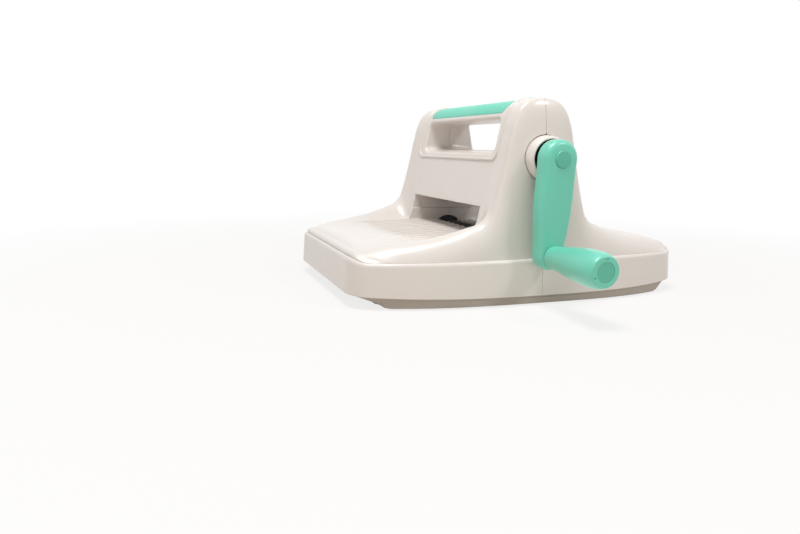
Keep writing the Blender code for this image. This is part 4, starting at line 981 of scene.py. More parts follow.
def strip_band(form, top_inset, bottom_inset, shrink):
    """Band that follows the crown over the full depth of the handle."""
    limit = shrink - STRIP_HALF_DEPTH

    def line(inset):
        front = form.profile(inset)
        kept = [point for point in front if point[0] > limit]
        low = front[len(front) - len(kept) - 1]
        share = (limit - low[0]) / (kept[0][0] - low[0])
        half = [(limit, low[1] + (kept[0][1] - low[1]) * share)] + kept[:-1]
        return half + [(0.0, front[-1][1])] + [(-y, z) for y, z in reversed(half)]

    outline = line(top_inset) + line(bottom_inset)[::-1]
    return extruded(outline, shrink - STRIP_HALF_LENGTH, STRIP_HALF_LENGTH - shrink)


def strip_piece(form, name, top_inset, bottom_inset, shrink):
    """Part of the crown's band inside the strip's round plan corners."""
    height = edit("housing").body_height
    plan = rounded_rectangle(STRIP_HALF_LENGTH - shrink, shrink - STRIP_HALF_DEPTH,
                             STRIP_HALF_DEPTH - shrink, STRIP_CORNER - shrink)
    strip = mesh_object(name, strip_band(form, top_inset, bottom_inset, shrink))
    carve(strip, extruded(plan, height - STRIP_DROP + shrink, height + OVERRUN, "Z"), "INTERSECT")
    return strip


def mouth_block(form):
    """Floor, jambs and ceiling that line the mouth, up to the roller slot."""
    sizes = edit("housing")
    bottom = sizes.feed_floor - MOUTH_WALL
    top = MOUTH_TOP + MOUTH_WALL
    profile = [point for point in form.profile(sizes.wall / 2)
               if sizes.feed_floor + MOUTH_WALL < point[1] < top]
    slope = face_slope(form)
    foot_y = profile[0][0] - (profile[0][1] - bottom) * slope - sizes.wall
    head_y = profile[-1][0] + (top - profile[-1][1]) * slope
    slot = math.sqrt(ROLLER_RADIUS ** 2 - (bottom - LOWER_Z) ** 2) + MOUTH_LEDGE + MOUTH_WALL
    ceiling = ROLLER_RADIUS + MOUTH_WALL
    outline = [(foot_y, bottom)] + profile + [(head_y, top)]
    outline += [(-ceiling, top), (-ceiling, MOUTH_TOP - MOUTH_WALL),
                (-slot, MOUTH_TOP - 2 * MOUTH_WALL), (-slot, bottom)]
    half = sizes.body_width / 2 - MOUTH_SIDE + MOUTH_WALL
    return extruded(outline, -half, half)


def jamb(side):
    """Side wall of the mouth between its front and the seam, open round both rollers."""
    sizes = edit("housing")
    depth = ROLLER_RADIUS + 2 * MOUTH_WALL
    low, high = sizes.feed_floor - MOUTH_WALL, MOUTH_TOP + MOUTH_WALL
    outline = [(-depth, low), (seam_y(), low), (seam_y(), high), (-depth, high)]
    half = sizes.body_width / 2 - MOUTH_SIDE
    start, end = sorted((side * (half - MOUTH_LEDGE), side * (half + MOUTH_WALL)))
    block = mesh_object("jamb", extruded(outline, start, end))
    for height, radius in ((LOWER_Z, LOWER_FLANGE), (UPPER_Z, ROLLER_RADIUS)):
        carve(block, bar(start - OVERRUN, end + OVERRUN, radius + 2 * GAP, FINE, (0.0, height)))
    return mesh_of(block)


def mouth_outline(out=0.0):
    """The feed passage's outline with the low ledge along both jambs."""
    sizes = edit("housing")
    half = sizes.body_width / 2 - MOUTH_SIDE
    floor = sizes.feed_floor
    ledge = floor + MOUTH_LEDGE_HEIGHT
    low = half - MOUTH_LEDGE + out
    return [(-low, floor), (low, floor), (low, ledge), (half + out, ledge + MOUTH_LEDGE),
            (half + out, MOUTH_TOP + out), (-half - out, MOUTH_TOP + out),
            (-half - out, ledge + MOUTH_LEDGE), (-low, ledge)]


def mouth_flare(form):
    """Rounding of the passage's edges at the tower's face."""
    lowest = edit("housing").feed_floor + MOUTH_LIP
    return skin([[(x, sunk - form.face_at(x, max(z, lowest)), z + HAIR)
                  for x, z in mouth_outline(out - HAIR)]
                 for out, sunk in flare(MOUTH_LIP, MOUTH_LIP_STEPS, MOUTH_LIP)])


def rib(form, x):
    """One tray rib with a round back, fading out towards the front."""
    sizes = edit("housing")
    share = abs(x) / (RIB_PITCH * RIB_COUNT / 2)
    end = RIB_END - RIB_BOW * share ** 2
    half = RIB_WIDTH / 2
    rings = []
    for index in range(RIB_STEPS + 1):
        depth = RIB_START + (end - RIB_START) * index / RIB_STEPS
        floor = sizes.feed_floor
        if depth > sizes.body_length / 2 * CENTRE_DEPTHS[TOWER_ROW]:
            floor = min(floor, form.height_at(x, -depth))
        rise = RIB_HEIGHT * min(1.0, RIB_FADE * (1 - index / RIB_STEPS)) - HAIR * index / RIB_STEPS
        back = [(x + half * math.cos(turn), -depth, floor - HAIR + rise * math.sin(turn))
                for turn in (math.pi * side / RIB_SIDES for side in range(RIB_SIDES + 1))]
        rings.append([(x + half, -depth, floor - MOUTH_WALL / 2), *back,
                      (x - half, -depth, floor - MOUTH_WALL / 2)])
    return skin(rings)


def bead_path(form):
    """Surface points and normals of the trim bead, from the crown's middle round and under."""
    top_z = edit("housing").body_height - 2 * STRIP_THICKNESS - HANDLE_CORNER
    low = BEAD_BOTTOM + BEAD_CORNER
    half = BEAD_HALF - BEAD_CORNER

    def seen(x, height, turn=0.0):
        ray = Vector((0, -math.cos(turn), math.sin(turn)))
        place, normal, _, _ = form.tree.ray_cast(Vector((x, -SEAM_CHAMFER, height)), ray)
        return place, normal if normal.dot(ray) > 0 else -normal

    path = [seen(BEAD_HALF, top_z, QUARTER * (1 - index / BEAD_CROWN_STEPS))
            for index in range(BEAD_CROWN_STEPS + 1)]
    path += [seen(BEAD_HALF, top_z + (low - top_z) * index / BEAD_SIDE_STEPS)
             for index in range(1, BEAD_SIDE_STEPS + 1)]
    path += [seen(BEAD_HALF - BEAD_CORNER * (1 - math.cos(turn)),
                  low - BEAD_CORNER * math.sin(turn))
             for turn in quarter_turns(BEAD_CORNER_STEPS)[1:]]
    path += [seen(half * (1 - index / BEAD_LOW_STEPS), BEAD_BOTTOM)
             for index in range(1, BEAD_LOW_STEPS)]
    mirrored = [(Vector((-place.x, place.y, place.z)), Vector((-normal.x, normal.y, normal.z)))
                for place, normal in reversed(path)]
    return path + [seen(0.0, BEAD_BOTTOM)] + mirrored


def bead(form):
    """Half sunk round bead along the path."""
    path = bead_path(form)
    rings = []
    for index, (place, normal) in enumerate(path):
        run = (path[min(index + 1, len(path) - 1)][0] - path[max(index - 1, 0)][0]).normalized()
        across = run.cross(normal).normalized()
        up = across.cross(run).normalized()
        rings.append([place + across * a + up * b for a, b in circle(BEAD_RADIUS, BEAD_SIDES)])
    return skin(rings)


def collar_boss(form):
    """Thick round patch inside the wall behind the collar's pocket, front half."""
    outline = arc((seam_y(), CRANK_Z), BOSS_RADIUS, QUARTER, 3 * QUARTER, BOSS_STEPS)
    end = min(form.wall_at(y, z) for y, z in outline) - edit("housing").wall / 2
    return extruded(outline, COLLAR_SEAT - COLLAR_PAD, end)


def front_half(form):
    """The front housing with all its openings, ribs and trim."""
    sizes = edit("housing")
    half = mesh_object("front_housing", housing_skin(form))
    for block in (mouth_block(form), jamb(-1), jamb(1), handle_block(form), collar_boss(form)):
        carve(half, block, "UNION")
    spots = [(x, -SHELL_SCREWS[1]) for x in (-SHELL_SCREWS[0], SHELL_SCREWS[0])]
    carve(half, joined([post(PAD_TOP + GAP, form.height_at(*spot) - sizes.wall / 2, POST_RADIUS,
                             spot) for spot in spots]), "UNION")
    reach = sizes.body_length / 2 * CENTRE_DEPTHS[MOUTH_ROW]
    carve(half, extruded(mouth_outline(), -reach, OVERRUN, "Y"))
    carve(half, mouth_flare(form))
    carve(half, joined([rib(form, (index - (RIB_COUNT - 1) / 2) * RIB_PITCH)
                        for index in range(RIB_COUNT)]), "UNION")
    carve(half, bead(form), "UNION")
    carve(half, handle_cutter(form))
    carve(half, mesh_of(strip_piece(form, "pocket", -OVERRUN, STRIP_THICKNESS + GAP, -GAP)))
    for height, radius in ((LOWER_Z, LOWER_FLANGE), (UPPER_Z, UPPER_FLANGE)):
        for start, end in ((ROLLER_HALF, PLATE_INNER + OVERRUN),
                           (-PLATE_INNER - OVERRUN, -ROLLER_HALF)):
            carve(half, bar(start, end, radius + 2 * GAP, centre=(0.0, height)))
    pocket = COLLAR_RADIUS + COLLAR_SHADOW
    for start, end, radius, rise, segments in (
            (COLLAR_SEAT, COLLAR_FACE + OVERRUN, pocket, 0.0, FINE),
            (COLLAR_SEAT, COLLAR_FACE + OVERRUN, NOTCH_RADIUS, pocket + NOTCH_RADIUS, COARSE),
            (COLLAR_SEAT - COLLAR_PAD - OVERRUN, COLLAR_FACE, COLLAR_SPIGOT + GAP, 0.0, MEDIUM)):
        carve(half, bar(start, end, radius, segments, (0.0, CRANK_Z + rise)))
    carve(half, joined([post(PAD_TOP - OVERRUN, PAD_TOP + SCREW_REACH, SCREW_RADIUS + GAP, spot)
                        for spot in spots]))
    return half


def rear_half(front):
    """Rear twin of the front half, turned the right way out."""
    mesh_data = bmesh.new()
    mesh_data.from_mesh(front.data)
    mesh_data.transform(Matrix.Scale(-1, 4, Vector((0, 1, 0))))
    bmesh.ops.reverse_faces(mesh_data, faces=mesh_data.faces)
    return mesh_object("rear_housing", mesh_data)


# ---------------------------------------------------------------- finishes


class Value:
    """A shader socket that takes part in sums, adding Math nodes as it goes."""

    def __init__(self, sheet, socket):
        self.sheet = sheet
        self.socket = socket

    def maths(self, operation, *values):
        return self.sheet.node("ShaderNodeMath", {"operation": operation}, *values)

    def __add__(self, other):
        return self.maths("ADD", self, other)

    __radd__ = __add__

    def __sub__(self, other):
        return self.maths("SUBTRACT", self, other)

    def __rsub__(self, other):
        return self.maths("SUBTRACT", other, self)

    def __mul__(self, other):
        return self.maths("MULTIPLY", self, other)

    __rmul__ = __mul__

    def __truediv__(self, other):
        return self.maths("DIVIDE", self, other)

    def __pow__(self, other):
        return self.maths("POWER", self, other)


class Sheet:
    """A material's or a sky's node sheet."""

    def __init__(self, owner, shader="Principled BSDF", **constants):
        owner.use_nodes = True
        self.owner = owner
        self.tree = owner.node_tree
        self.shader = self.tree.nodes[shader]
        self.set(**constants)

    def node(self, kind, settings=None, *values, output=0, numbered=None, **named):
        """Add a node: its settings first, then the values or links of its sockets."""
        made = self.tree.nodes.new(kind)
        for label, value in (settings or {}).items():
            if label == "stops":
                self.fill_ramp(made.color_ramp, value)
            else:
                setattr(made, label, value)
        for key, item in (*enumerate(values), *(numbered or {}).items(), *named.items()):
            self.feed(made.inputs[key], item)
        return Value(self, made.outputs[output])

    def feed(self, socket, item):
        if isinstance(item, Value):
            self.tree.links.new(item.socket, socket)
        else:
            socket.default_value = item

    @staticmethod
    def fill_ramp(ramp, stops):
        while len(ramp.elements) < len(stops):
            ramp.elements.new(1.0)
        for element, (place, level) in zip(ramp.elements, stops):
            element.position = place
            element.color = (level, level, level, 1.0)

    def mix(self, factor, first, second):
        """Blend of two colours."""
        return self.node("ShaderNodeMix", {"data_type": "RGBA", "clamp_factor": True}, output=2,
                         numbered={0: factor, 6: first, 7: second})

    def place(self):
        """The point on the piece, in metres."""
        return self.node("ShaderNodeTexCoord", output=3)

    def part(self, axis):
        """One coordinate of the point, in metres: height over the floor is part 2."""
        return self.node("ShaderNodeSeparateXYZ", None, self.place(), output=axis)

    def vector(self, operation, *values, output=0):
        return self.node("ShaderNodeVectorMath", {"operation": operation}, *values, output=output)

    def noise(self, scale, detail=3.0, rough=0.5, stretch=(1.0, 1.0, 1.0)):
        return self.node("ShaderNodeTexNoise", None,
                         Vector=self.vector("MULTIPLY", self.place(), stretch),
                         Scale=scale, Detail=detail, Roughness=rough)

    def cells(self, scale, feature="F1", stretch=(1.0, 1.0, 1.0)):
        return self.node("ShaderNodeTexVoronoi", {"feature": feature}, Scale=scale,
                         Vector=self.vector("MULTIPLY", self.place(), stretch))

    def ramp(self, value, *stops):
        return self.node("ShaderNodeValToRGB", {"stops": stops}, value)

    def fade(self, value, low, high):
        """1 below the low mark, 0 above the high one."""
        return self.node("ShaderNodeMapRange", {"clamp": True}, value, low, high, 1.0, 0.0)

    def set(self, **sockets):
        for label, value in sockets.items():
            self.feed(self.shader.inputs[label.replace("_", " ")], value)

    def bump(self, height, strength, distance=0.0002):
        self.set(Normal=self.node("ShaderNodeBump", None, Strength=strength, Distance=distance,
                                  Height=height))

    def show_white(self, share, emitter, output):
        """Show white of strength 1, by a share, to the camera, reflections and clear pieces."""
        seen = self.node("ShaderNodeLightPath", output="Is Camera Ray")
        for ray in ("Is Glossy Ray", "Is Transmission Ray"):
            seen = seen.maths("MAXIMUM", seen, self.node("ShaderNodeLightPath", output=ray))
        plain = Value(self, self.shader.outputs[0])
        white = self.node(emitter, None, WHITE, 1.0)
        shown = self.node("ShaderNodeMixShader", None, seen * share, plain, white)
        self.feed(self.tree.nodes[output].inputs["Surface"], shown)


def shade(colour, factor):
    """A colour made lighter or darker."""
    return (*(min(channel * factor, 1.0) for channel in colour), 1.0)


def scratches(sheet, scale, width):
    """Fine hairlines, 1 on a line and 0 between."""
    lines = sheet.cells(scale, "DISTANCE_TO_EDGE", (1.0, 0.35, 0.6))
    thin = sheet.ramp(lines, (0.0, 1.0), (width, 0.0))
    broken = sheet.ramp(sheet.noise(scale * 0.7, 2.0), (0.55, 0.0), (0.65, 1.0))
    return thin * broken


def moulded_plastic(sheet, colour, roughness, grain=1.0, coat=0.0, sheen=0.12, shadow=0.92,
                    low_darkening=0.0):
    """Injection moulded plastic: slight flow tones, moulding grain, hairlines and hand wear."""
    sheet.set(Coat_Weight=coat, Coat_Roughness=sheen)
    cloud = sheet.ramp(sheet.noise(9.0, 2.0), (0.30, 0.0), (0.70, 1.0))
    tone = sheet.mix(cloud, shade(colour, shadow + 0.03), shade(colour, 1.0))
    marks = scratches(sheet, 60.0, 0.012)
    tone = sheet.mix(marks * 0.12, tone, shade(colour, 1.05))
    if low_darkening:
        # darker towards the bottom, in blotches of noise, on the lowest few centimetres
        low = sheet.ramp(sheet.part(2) * 12.0, (0.10, 1.0), (0.50, 0.0))
        tone = sheet.mix(sheet.noise(45.0, 4.0) * low * low_darkening, tone, shade(colour, 0.82))
    fine = sheet.noise(2200.0, 2.0)
    worn = sheet.ramp(sheet.noise(26.0, 4.0, 0.6), (0.42, 0.0), (0.66, 1.0))
    sheet.set(Base_Color=tone,
              Roughness=worn * 0.10 + marks * 0.05 + (roughness - 0.04) + fine * 0.04)
    sheet.bump(fine * 0.6 + sheet.noise(420.0, 2.0) * 0.4 - marks * 0.1,
               edit("finish").grain * grain)


def collar_with_painted_recess_shade(sheet, colour):
    """White collar plastic whose dish behind the arm is painted near black as shade."""
    sheet.set(Coat_Weight=0.25, Coat_Roughness=0.12)
    face = COLLAR_FACE + MIDDLE_TO_ORIGIN.translation.x
    rim = COLLAR_RADIUS - COLLAR_ROUND
    deep = sheet.fade(sheet.part(0), face - COLLAR_RECESS, face - COLLAR_RECESS / 4)
    across = sheet.vector("DISTANCE", sheet.vector("MULTIPLY", sheet.place(), (0.0, 1.0, 1.0)),
                          (0.0, 0.0, CRANK_Z), output=1)
    # painted shade: inside the rim and below the face, the dish is coloured near black where shade
    # falls behind the arm
    painted_recess_shade = deep * sheet.fade(across, rim - COLLAR_LIP + 2 * HAIR, rim)
    cloud = sheet.ramp(sheet.noise(9.0, 2.0), (0.30, 0.0), (0.70, 1.0))
    tone = sheet.mix(cloud, shade(colour, 0.98), shade(colour, 1.03))
    tone = sheet.mix(painted_recess_shade, tone, (0.012, 0.014, 0.014, 1.0))
    sheet.set(Base_Color=tone, Roughness=0.30 - painted_recess_shade * 0.08 + sheet.noise(300.0, 3.0) * 0.06)
    sheet.bump(sheet.noise(420.0, 2.0), edit("finish").grain)


def turned_steel(sheet, colour, roughness):
    """Turned or drawn steel with fine tool marks and an oily film."""
    lines = sheet.noise(1500.0, 2.0, 0.6, (1.0, 0.05, 0.05))
    film = sheet.noise(70.0, 4.0, 0.6)
    oily = sheet.ramp(film, (0.35, 0.0), (0.7, 1.0))
    sheet.set(Metallic=1.0, Base_Color=sheet.mix(oily, shade(colour, 0.82), shade(colour, 1.08)),
              Roughness=lines * 0.16 + film * 0.10 + (roughness - 0.12))
    sheet.bump(lines, 0.25, 0.00005)


def plated_sheet(sheet, colour):
    """Zinc plated pressed steel with a mottled bloom."""
    bloom = sheet.cells(160.0)
    cloud = sheet.noise(40.0, 4.0, 0.6)
    tone = sheet.mix(bloom, shade(colour, 0.86), shade(colour, 1.06))
    tone = sheet.mix(cloud * 0.4, tone, shade(colour, 0.75))
    sheet.set(Metallic=1.0, Base_Color=tone, Roughness=cloud * 0.22 + bloom * 0.10 + 0.22)
    sheet.bump(cloud * 0.5 + sheet.noise(900.0, 2.0) * 0.5, 0.2, 0.00005)


def sintered_bronze(sheet, colour):
    """Porous bearing bronze, darkened by oil in its pores."""
    pores = sheet.ramp(sheet.cells(1400.0), (0.12, 1.0), (0.30, 0.0))
    oil = sheet.noise(90.0, 3.0)
    tone = sheet.mix(oil, shade(colour, 0.8), shade(colour, 1.05))
    tone = sheet.mix(pores * 0.7, tone, shade(colour, 0.35))
    sheet.set(Metallic=1.0, Base_Color=tone, Roughness=pores * 0.3 + oil * 0.12 + 0.3)
    sheet.bump(1 - pores, 0.35, 0.00005)


def coated_roller(sheet, colour):
    """Black coated roller: fine orange peel and bands that use has rubbed."""
    peel = sheet.noise(900.0, 3.0)
    bands = sheet.noise(130.0, 3.0, 0.6, (1.0, 0.12, 0.12))
    rubbed = sheet.ramp(bands, (0.50, 0.0), (0.72, 1.0))
    sheet.set(Base_Color=sheet.mix(rubbed * 0.5, shade(colour, 1.0), shade(colour, 3.0)),
              Roughness=0.48 - rubbed * 0.14 + peel * 0.08)
    sheet.bump(peel, 0.3, 0.0001)


def foot_rubber(sheet, colour):
    """Matt rubber with a dusty bloom and a scuffed sole."""
    dust = sheet.noise(160.0, 4.0, 0.65)
    sole = sheet.ramp(sheet.part(2) * 400.0, (0.15, 1.0), (0.45, 0.0))
    tone = sheet.mix(dust * 0.5 + sole * 0.3, shade(colour, 1.0), shade(colour, 3.4))
    sheet.set(Specular_IOR_Level=0.3, Base_Color=tone, Roughness=dust * 0.1 + 0.78)
    sheet.bump(sheet.noise(1300.0, 3.0), 0.4)


# Each finish: its name, a slot name that nothing here reads, the shader, the colour's setting,
# more settings.
FINISHES = {
    "white": ("white housing plastic", "white_plastic", moulded_plastic, "white",
              {"roughness": 0.30, "coat": 0.25, "shadow": 0.95, "low_darkening": 0.35}),
    "collar": ("white collar plastic", "white_plastic", collar_with_painted_recess_shade, "white", {}),
    "mint": ("mint crank plastic", "mint_plastic", moulded_plastic, "mint",
             {"roughness": 0.34, "coat": 0.6, "sheen": 0.30}),
    "strip": ("mint strip plastic", "mint_plastic", moulded_plastic, "mint",
              {"roughness": 0.42}),
    "cap": ("deep mint cap plastic", "mint_cap", moulded_plastic, "cap",
            {"roughness": 0.36, "grain": 1.4, "coat": 0.4, "sheen": 0.32}),
    "pan": ("tan pan plastic", "pan_plastic", moulded_plastic, "pan",
            {"roughness": 0.50, "grain": 2.0, "shadow": 0.85, "low_darkening": 0.6}),
    "black": ("black bush plastic", "black_plastic", moulded_plastic, "black",
              {"roughness": 0.42, "grain": 1.5, "shadow": 0.8}),
    "roller": ("black roller coat", "roller_black", coated_roller, "black", {}),
    "steel": ("turned steel", "steel", turned_steel, "steel", {"roughness": 0.34}),
    "plate": ("plated sheet steel", "steel", plated_sheet, "steel", {}),
    "bronze": ("sintered bronze", "bronze", sintered_bronze, "bronze", {}),
    "rubber": ("foot rubber", "rubber", foot_rubber, "black", {}),
}


def finish_material(key):
    """The material of a finish, made when a piece first asks for it."""
    label, _, shader, colour, settings = FINISHES[key]
    if label not in bpy.data.materials:
        sheet = Sheet(bpy.data.materials.new(label), Specular_IOR_Level=0.5)
        shader(sheet, getattr(edit("finish"), colour), **settings)
    return bpy.data.materials[label]


# ---------------------------------------------------------------- settings


def size_setting(name, description, metres):
    """A size in metres."""
    return FloatProperty(name=name, description=description, default=metres, unit="LENGTH")


def angle_setting(name, description, degrees):
    """An angle, written here in degrees."""
    return FloatProperty(name=name, description=description, default=math.radians(degrees),
                         unit="ROTATION", subtype="ANGLE")


def colour_setting(name, description, channels):
    """A colour in linear red, green and blue."""
    return FloatVectorProperty(name=name, description=description, default=channels,
                               subtype="COLOR")


def power_setting(name, description, watts):
    """A lamp's power in watts."""
    return FloatProperty(name=name, description=description, default=watts, unit="POWER")


class HousingSizes(bpy.types.PropertyGroup):
    """Sizes of the moulded housing."""

    body_length: size_setting("Length", "Length in the feed direction", 0.3566)
    body_width: size_setting("Width", "Width at the seam", 0.2680)
    end_width: size_setting("End width", "Width of both ends", 0.2100)
    body_height: size_setting("Height", "Height of the carry handle", 0.1913)
    skirt_bottom: size_setting("Skirt height", "Height of the skirt's lower edge", 0.0092)
    feed_floor: size_setting("Feed floor", "Height of the tray's feed floor", 0.0578)
    handle_floor: size_setting("Handle floor", "Height of the carry opening", 0.1400)
    handle_beam: size_setting("Handle beam", "Thickness over the carry opening", 0.0160)
    wall: size_setting("Wall", "Wall of the mouldings", 0.0030)
    seam_gap: size_setting("Seam", "Gap between both halves", 0.0003)
    row_spacing: size_setting("Row spacing", "Largest distance between rows", 0.0030)
    column_steps: IntProperty(name="Column steps", description="Columns in each band of the form",
                              default=10)


class CrankSizes(bpy.types.PropertyGroup):
    """Sizes of the crank and its grip."""

    throw: size_setting("Throw", "Distance between both axes", 0.0872)
    hang: angle_setting("Hang", "Rest angle of the arm", -2.8)
    thickness: size_setting("Arm thickness", "Thickness of the arm", 0.0160)
    head_radius: size_setting("Head radius", "Radius at the shaft", 0.0172)
    end_radius: size_setting("End radius", "Radius at the grip", 0.0128)
    grip_length: size_setting("Grip length", "Length of the grip", 0.0750)
    neck_radius: size_setting("Grip neck", "Grip radius at the arm", 0.0103)
    belly_radius: size_setting("Grip belly", "Largest grip radius", 0.0158)
    tip_radius: size_setting("Grip end", "Radius of the grip's flat end", 0.0122)


class FinishChoices(bpy.types.PropertyGroup):
    """Colours and grain of the finishes."""

    white: colour_setting("Housing", "Housing plastic", (0.80, 0.745, 0.700))
    mint: colour_setting("Trim", "Crank, grip and strip", (0.165, 0.67, 0.505))
    cap: colour_setting("Caps", "Hub cap and grip cap", (0.11, 0.53, 0.385))
    pan: colour_setting("Pan", "Base pan", (0.48, 0.425, 0.37))
    black: colour_setting("Black", "Bushes, rollers and feet", (0.022, 0.022, 0.024))
    steel: colour_setting("Steel", "Frame and shafts", (0.56, 0.56, 0.57))
    bronze: colour_setting("Bronze", "Crank bearings", (0.62, 0.42, 0.22))
    grain: FloatProperty(name="Grain", description="Depth of the moulding grain", default=0.08,
                         min=0.0, max=1.0, subtype="FACTOR")


class StageSettings(bpy.types.PropertyGroup):
    """Camera and lamps."""

    camera_place: FloatVectorProperty(name="Camera", description="Where the camera stands",
                                      default=(0.61157, -0.33557, 0.14349), subtype="TRANSLATION",
                                      unit="LENGTH")
    yaw: angle_setting("Yaw", "Turn of the view from -X", 20.05101)
    pitch: angle_setting("Pitch", "Downward tilt of the view", 10.2515)
    roll: angle_setting("Roll", "Roll of the view", 1.10009)
    focal: FloatProperty(name="Lens", description="Focal length", default=29.727, unit="CAMERA")
    sky: FloatProperty(name="Sky", description="Strength of the even light", default=0.33)
    key: power_setting("Key lamp", "Power of the main lamp", 11.9)
    front: power_setting("Front lamp", "Power of the lamp in front", 0.4)
    side: power_setting("Side lamp", "Power of the lamp on the crank side", 3.1)


class MachineSettings(bpy.types.PropertyGroup):
    """Everything that a user would change."""

    housing: PointerProperty(type=HousingSizes)
    crank: PointerProperty(type=CrankSizes)
    finish: PointerProperty(type=FinishChoices)
    stage: PointerProperty(type=StageSettings)


# ---------------------------------------------------------------- operators


class DIECUTTER_OT_housing(bpy.types.Operator):
    """Build both moulded halves and the strip in the carry handle"""

    bl_idname = "diecutter.housing"
    bl_label = "Housing"

    def execute(self, context):
        form = HousingForm()
        front = front_half(form)
        rear = rear_half(front)
        dress(front, "base", "white", "front_shell", sharp=40)
        dress(rear, "base", "white", "rear_shell", sharp=40)
        strip = strip_piece(form, "carry_strip", 0, STRIP_THICKNESS, GAP)
        dress(strip, "base", "strip", "handle_strip", bevel=STRIP_BEVEL)
        return {"FINISHED"}


class DIECUTTER_OT_base(bpy.types.Operator):
    """Build the base pan with its feet and screws"""

    bl_idname = "diecutter.base"
    bl_label = "Base"

    def execute(self, context):
        pan = mesh_object("bottom_pan", pan_mesh())
        screws = corners(SHELL_SCREWS) + corners(FRAME_SCREWS)
        for spot in screws:
            carve(pan, post(PAN_BOTTOM + PAN_FLOOR / 2, PAD_TOP, PAD_RADIUS, spot), "UNION")
        for spot in screws:
            carve(pan, post(PAN_BOTTOM - OVERRUN, PAN_BOTTOM + SCREW_RECESS,
                            SCREW_HEAD_RADIUS + GAP, spot))
            carve(pan, post(PAN_BOTTOM, PAD_TOP + OVERRUN, SCREW_RADIUS + GAP, spot))
        for spot in corners(FEET):
            carve(pan, post(PAN_BOTTOM - OVERRUN, PAN_BOTTOM + FOOT_RECESS, FOOT_RADIUS + GAP,
                            spot, MEDIUM))
        dress(pan, "base", "pan", "base_pan")
        foot = softened([(0.0, FOOT_RADIUS - PAN_BOTTOM * 2), (0.0, FOOT_RADIUS - PAN_BOTTOM / 2),
                         (PAN_BOTTOM, FOOT_RADIUS),
                         (PAN_BOTTOM + FOOT_RECESS - GAP, FOOT_RADIUS)], PAN_BOTTOM / 2)
        for spot in corners(FEET):
            name = corner_name("foot", spot)
            pad = mesh_object(name + "_pad", turned_upright(foot, spot, MEDIUM))
            dress(pad, "base", "rubber", name)
        for prefix, screw in (("shell_screw", SHELL_SCREWS), ("frame_screw", FRAME_SCREWS)):
            for spot in corners(screw):
                name = corner_name(prefix, spot)
                dress(cross_screw(name + "_cross", spot), "base", "steel", name)
        return {"FINISHED"}


def corners(spot):
    """The four places that mirror one another about the body's middle."""
    return [(x * spot[0], y * spot[1]) for x in (-1, 1) for y in (-1, 1)]


def corner_name(prefix, spot):
    """Node name of the piece that stands at one of the four places."""
    return (prefix + ("_rear" if spot[1] > 0 else "_front")
            + ("_right" if spot[0] > 0 else "_left"))


def pan_mesh():
    """Shallow pan with a band that shows under the skirt and a wall that stands inside it."""
    sizes = edit("housing")
    inset = sizes.wall + GAP
    top = sizes.skirt_bottom + PAN_RISE
    shown = sizes.skirt_bottom + SKIRT_END_RISE
    turns = [SIDE_END * index / PAN_TURNS for index in range(PAN_TURNS + 1)]

    def ring(deep, height):
        """Closed ring at a height, or just under the skirt's edge if none is given."""
        level = shown if height is None else height
        rake = PAN_END_RAKE * max(0.0, (shown - level) / (shown - PAN_BOTTOM))
        limit = sizes.body_length / 2 - deep - PAN_END_INSET - rake
        right = [ring_point(turn, deep, level) for turn in turns]
        for point in right:
            point.y = max(point.y, -limit)
            if height is None:
                point.z = skirt_height(point.y) - GAP
        front = HousingForm.whole(right)
        return front + [Vector((point.x, -point.y, point.z)) for point in reversed(front[1:-1])]

    return skin([ring(PAN_STEP + PAN_WALL / 2, PAN_BOTTOM),
                 ring(PAN_STEP + PAN_WALL / 8, PAN_BOTTOM + PAN_WALL / 8),
                 ring(PAN_STEP, PAN_BOTTOM + PAN_WALL / 2), ring(PAN_STEP, None),
                 ring(inset, None), ring(inset, top), ring(inset + PAN_WALL, top),
                 ring(inset + PAN_WALL, PAN_BOTTOM + PAN_FLOOR)])


def cross_screw(name, centre):
    """Pan head screw, head down, with a cross recess."""
    seat = PAN_BOTTOM + SCREW_RECESS - GAP
    head = seat - SCREW_HEAD_HEIGHT
    profile = [(head, SCREW_HEAD_RADIUS / 2), (head, SCREW_HEAD_RADIUS - SCREW_HEAD_HEIGHT / 3),
               (head + SCREW_HEAD_HEIGHT / 2, SCREW_HEAD_RADIUS), (seat, SCREW_HEAD_RADIUS),
               (seat, SCREW_RADIUS), (PAD_TOP + SCREW_REACH - 2 * SCREW_RADIUS, SCREW_RADIUS),
               (PAD_TOP + SCREW_REACH - SCREW_RADIUS, SCREW_RADIUS / 3)]
    screw = mesh_object(name, turned_upright(profile, centre))
    long, short = SCREW_HEAD_RADIUS * CROSS_LENGTH, SCREW_HEAD_RADIUS * CROSS_WIDTH
    for half_x, half_y in ((long, short), (short, long)):
        outline = [(centre[0] + x * half_x, centre[1] + y * half_y)
                   for x, y in ((-1, -1), (1, -1), (1, 1), (-1, 1))]
        carve(screw, extruded(outline, head - OVERRUN, head + SCREW_HEAD_HEIGHT / 2, "Z"))
    return screw


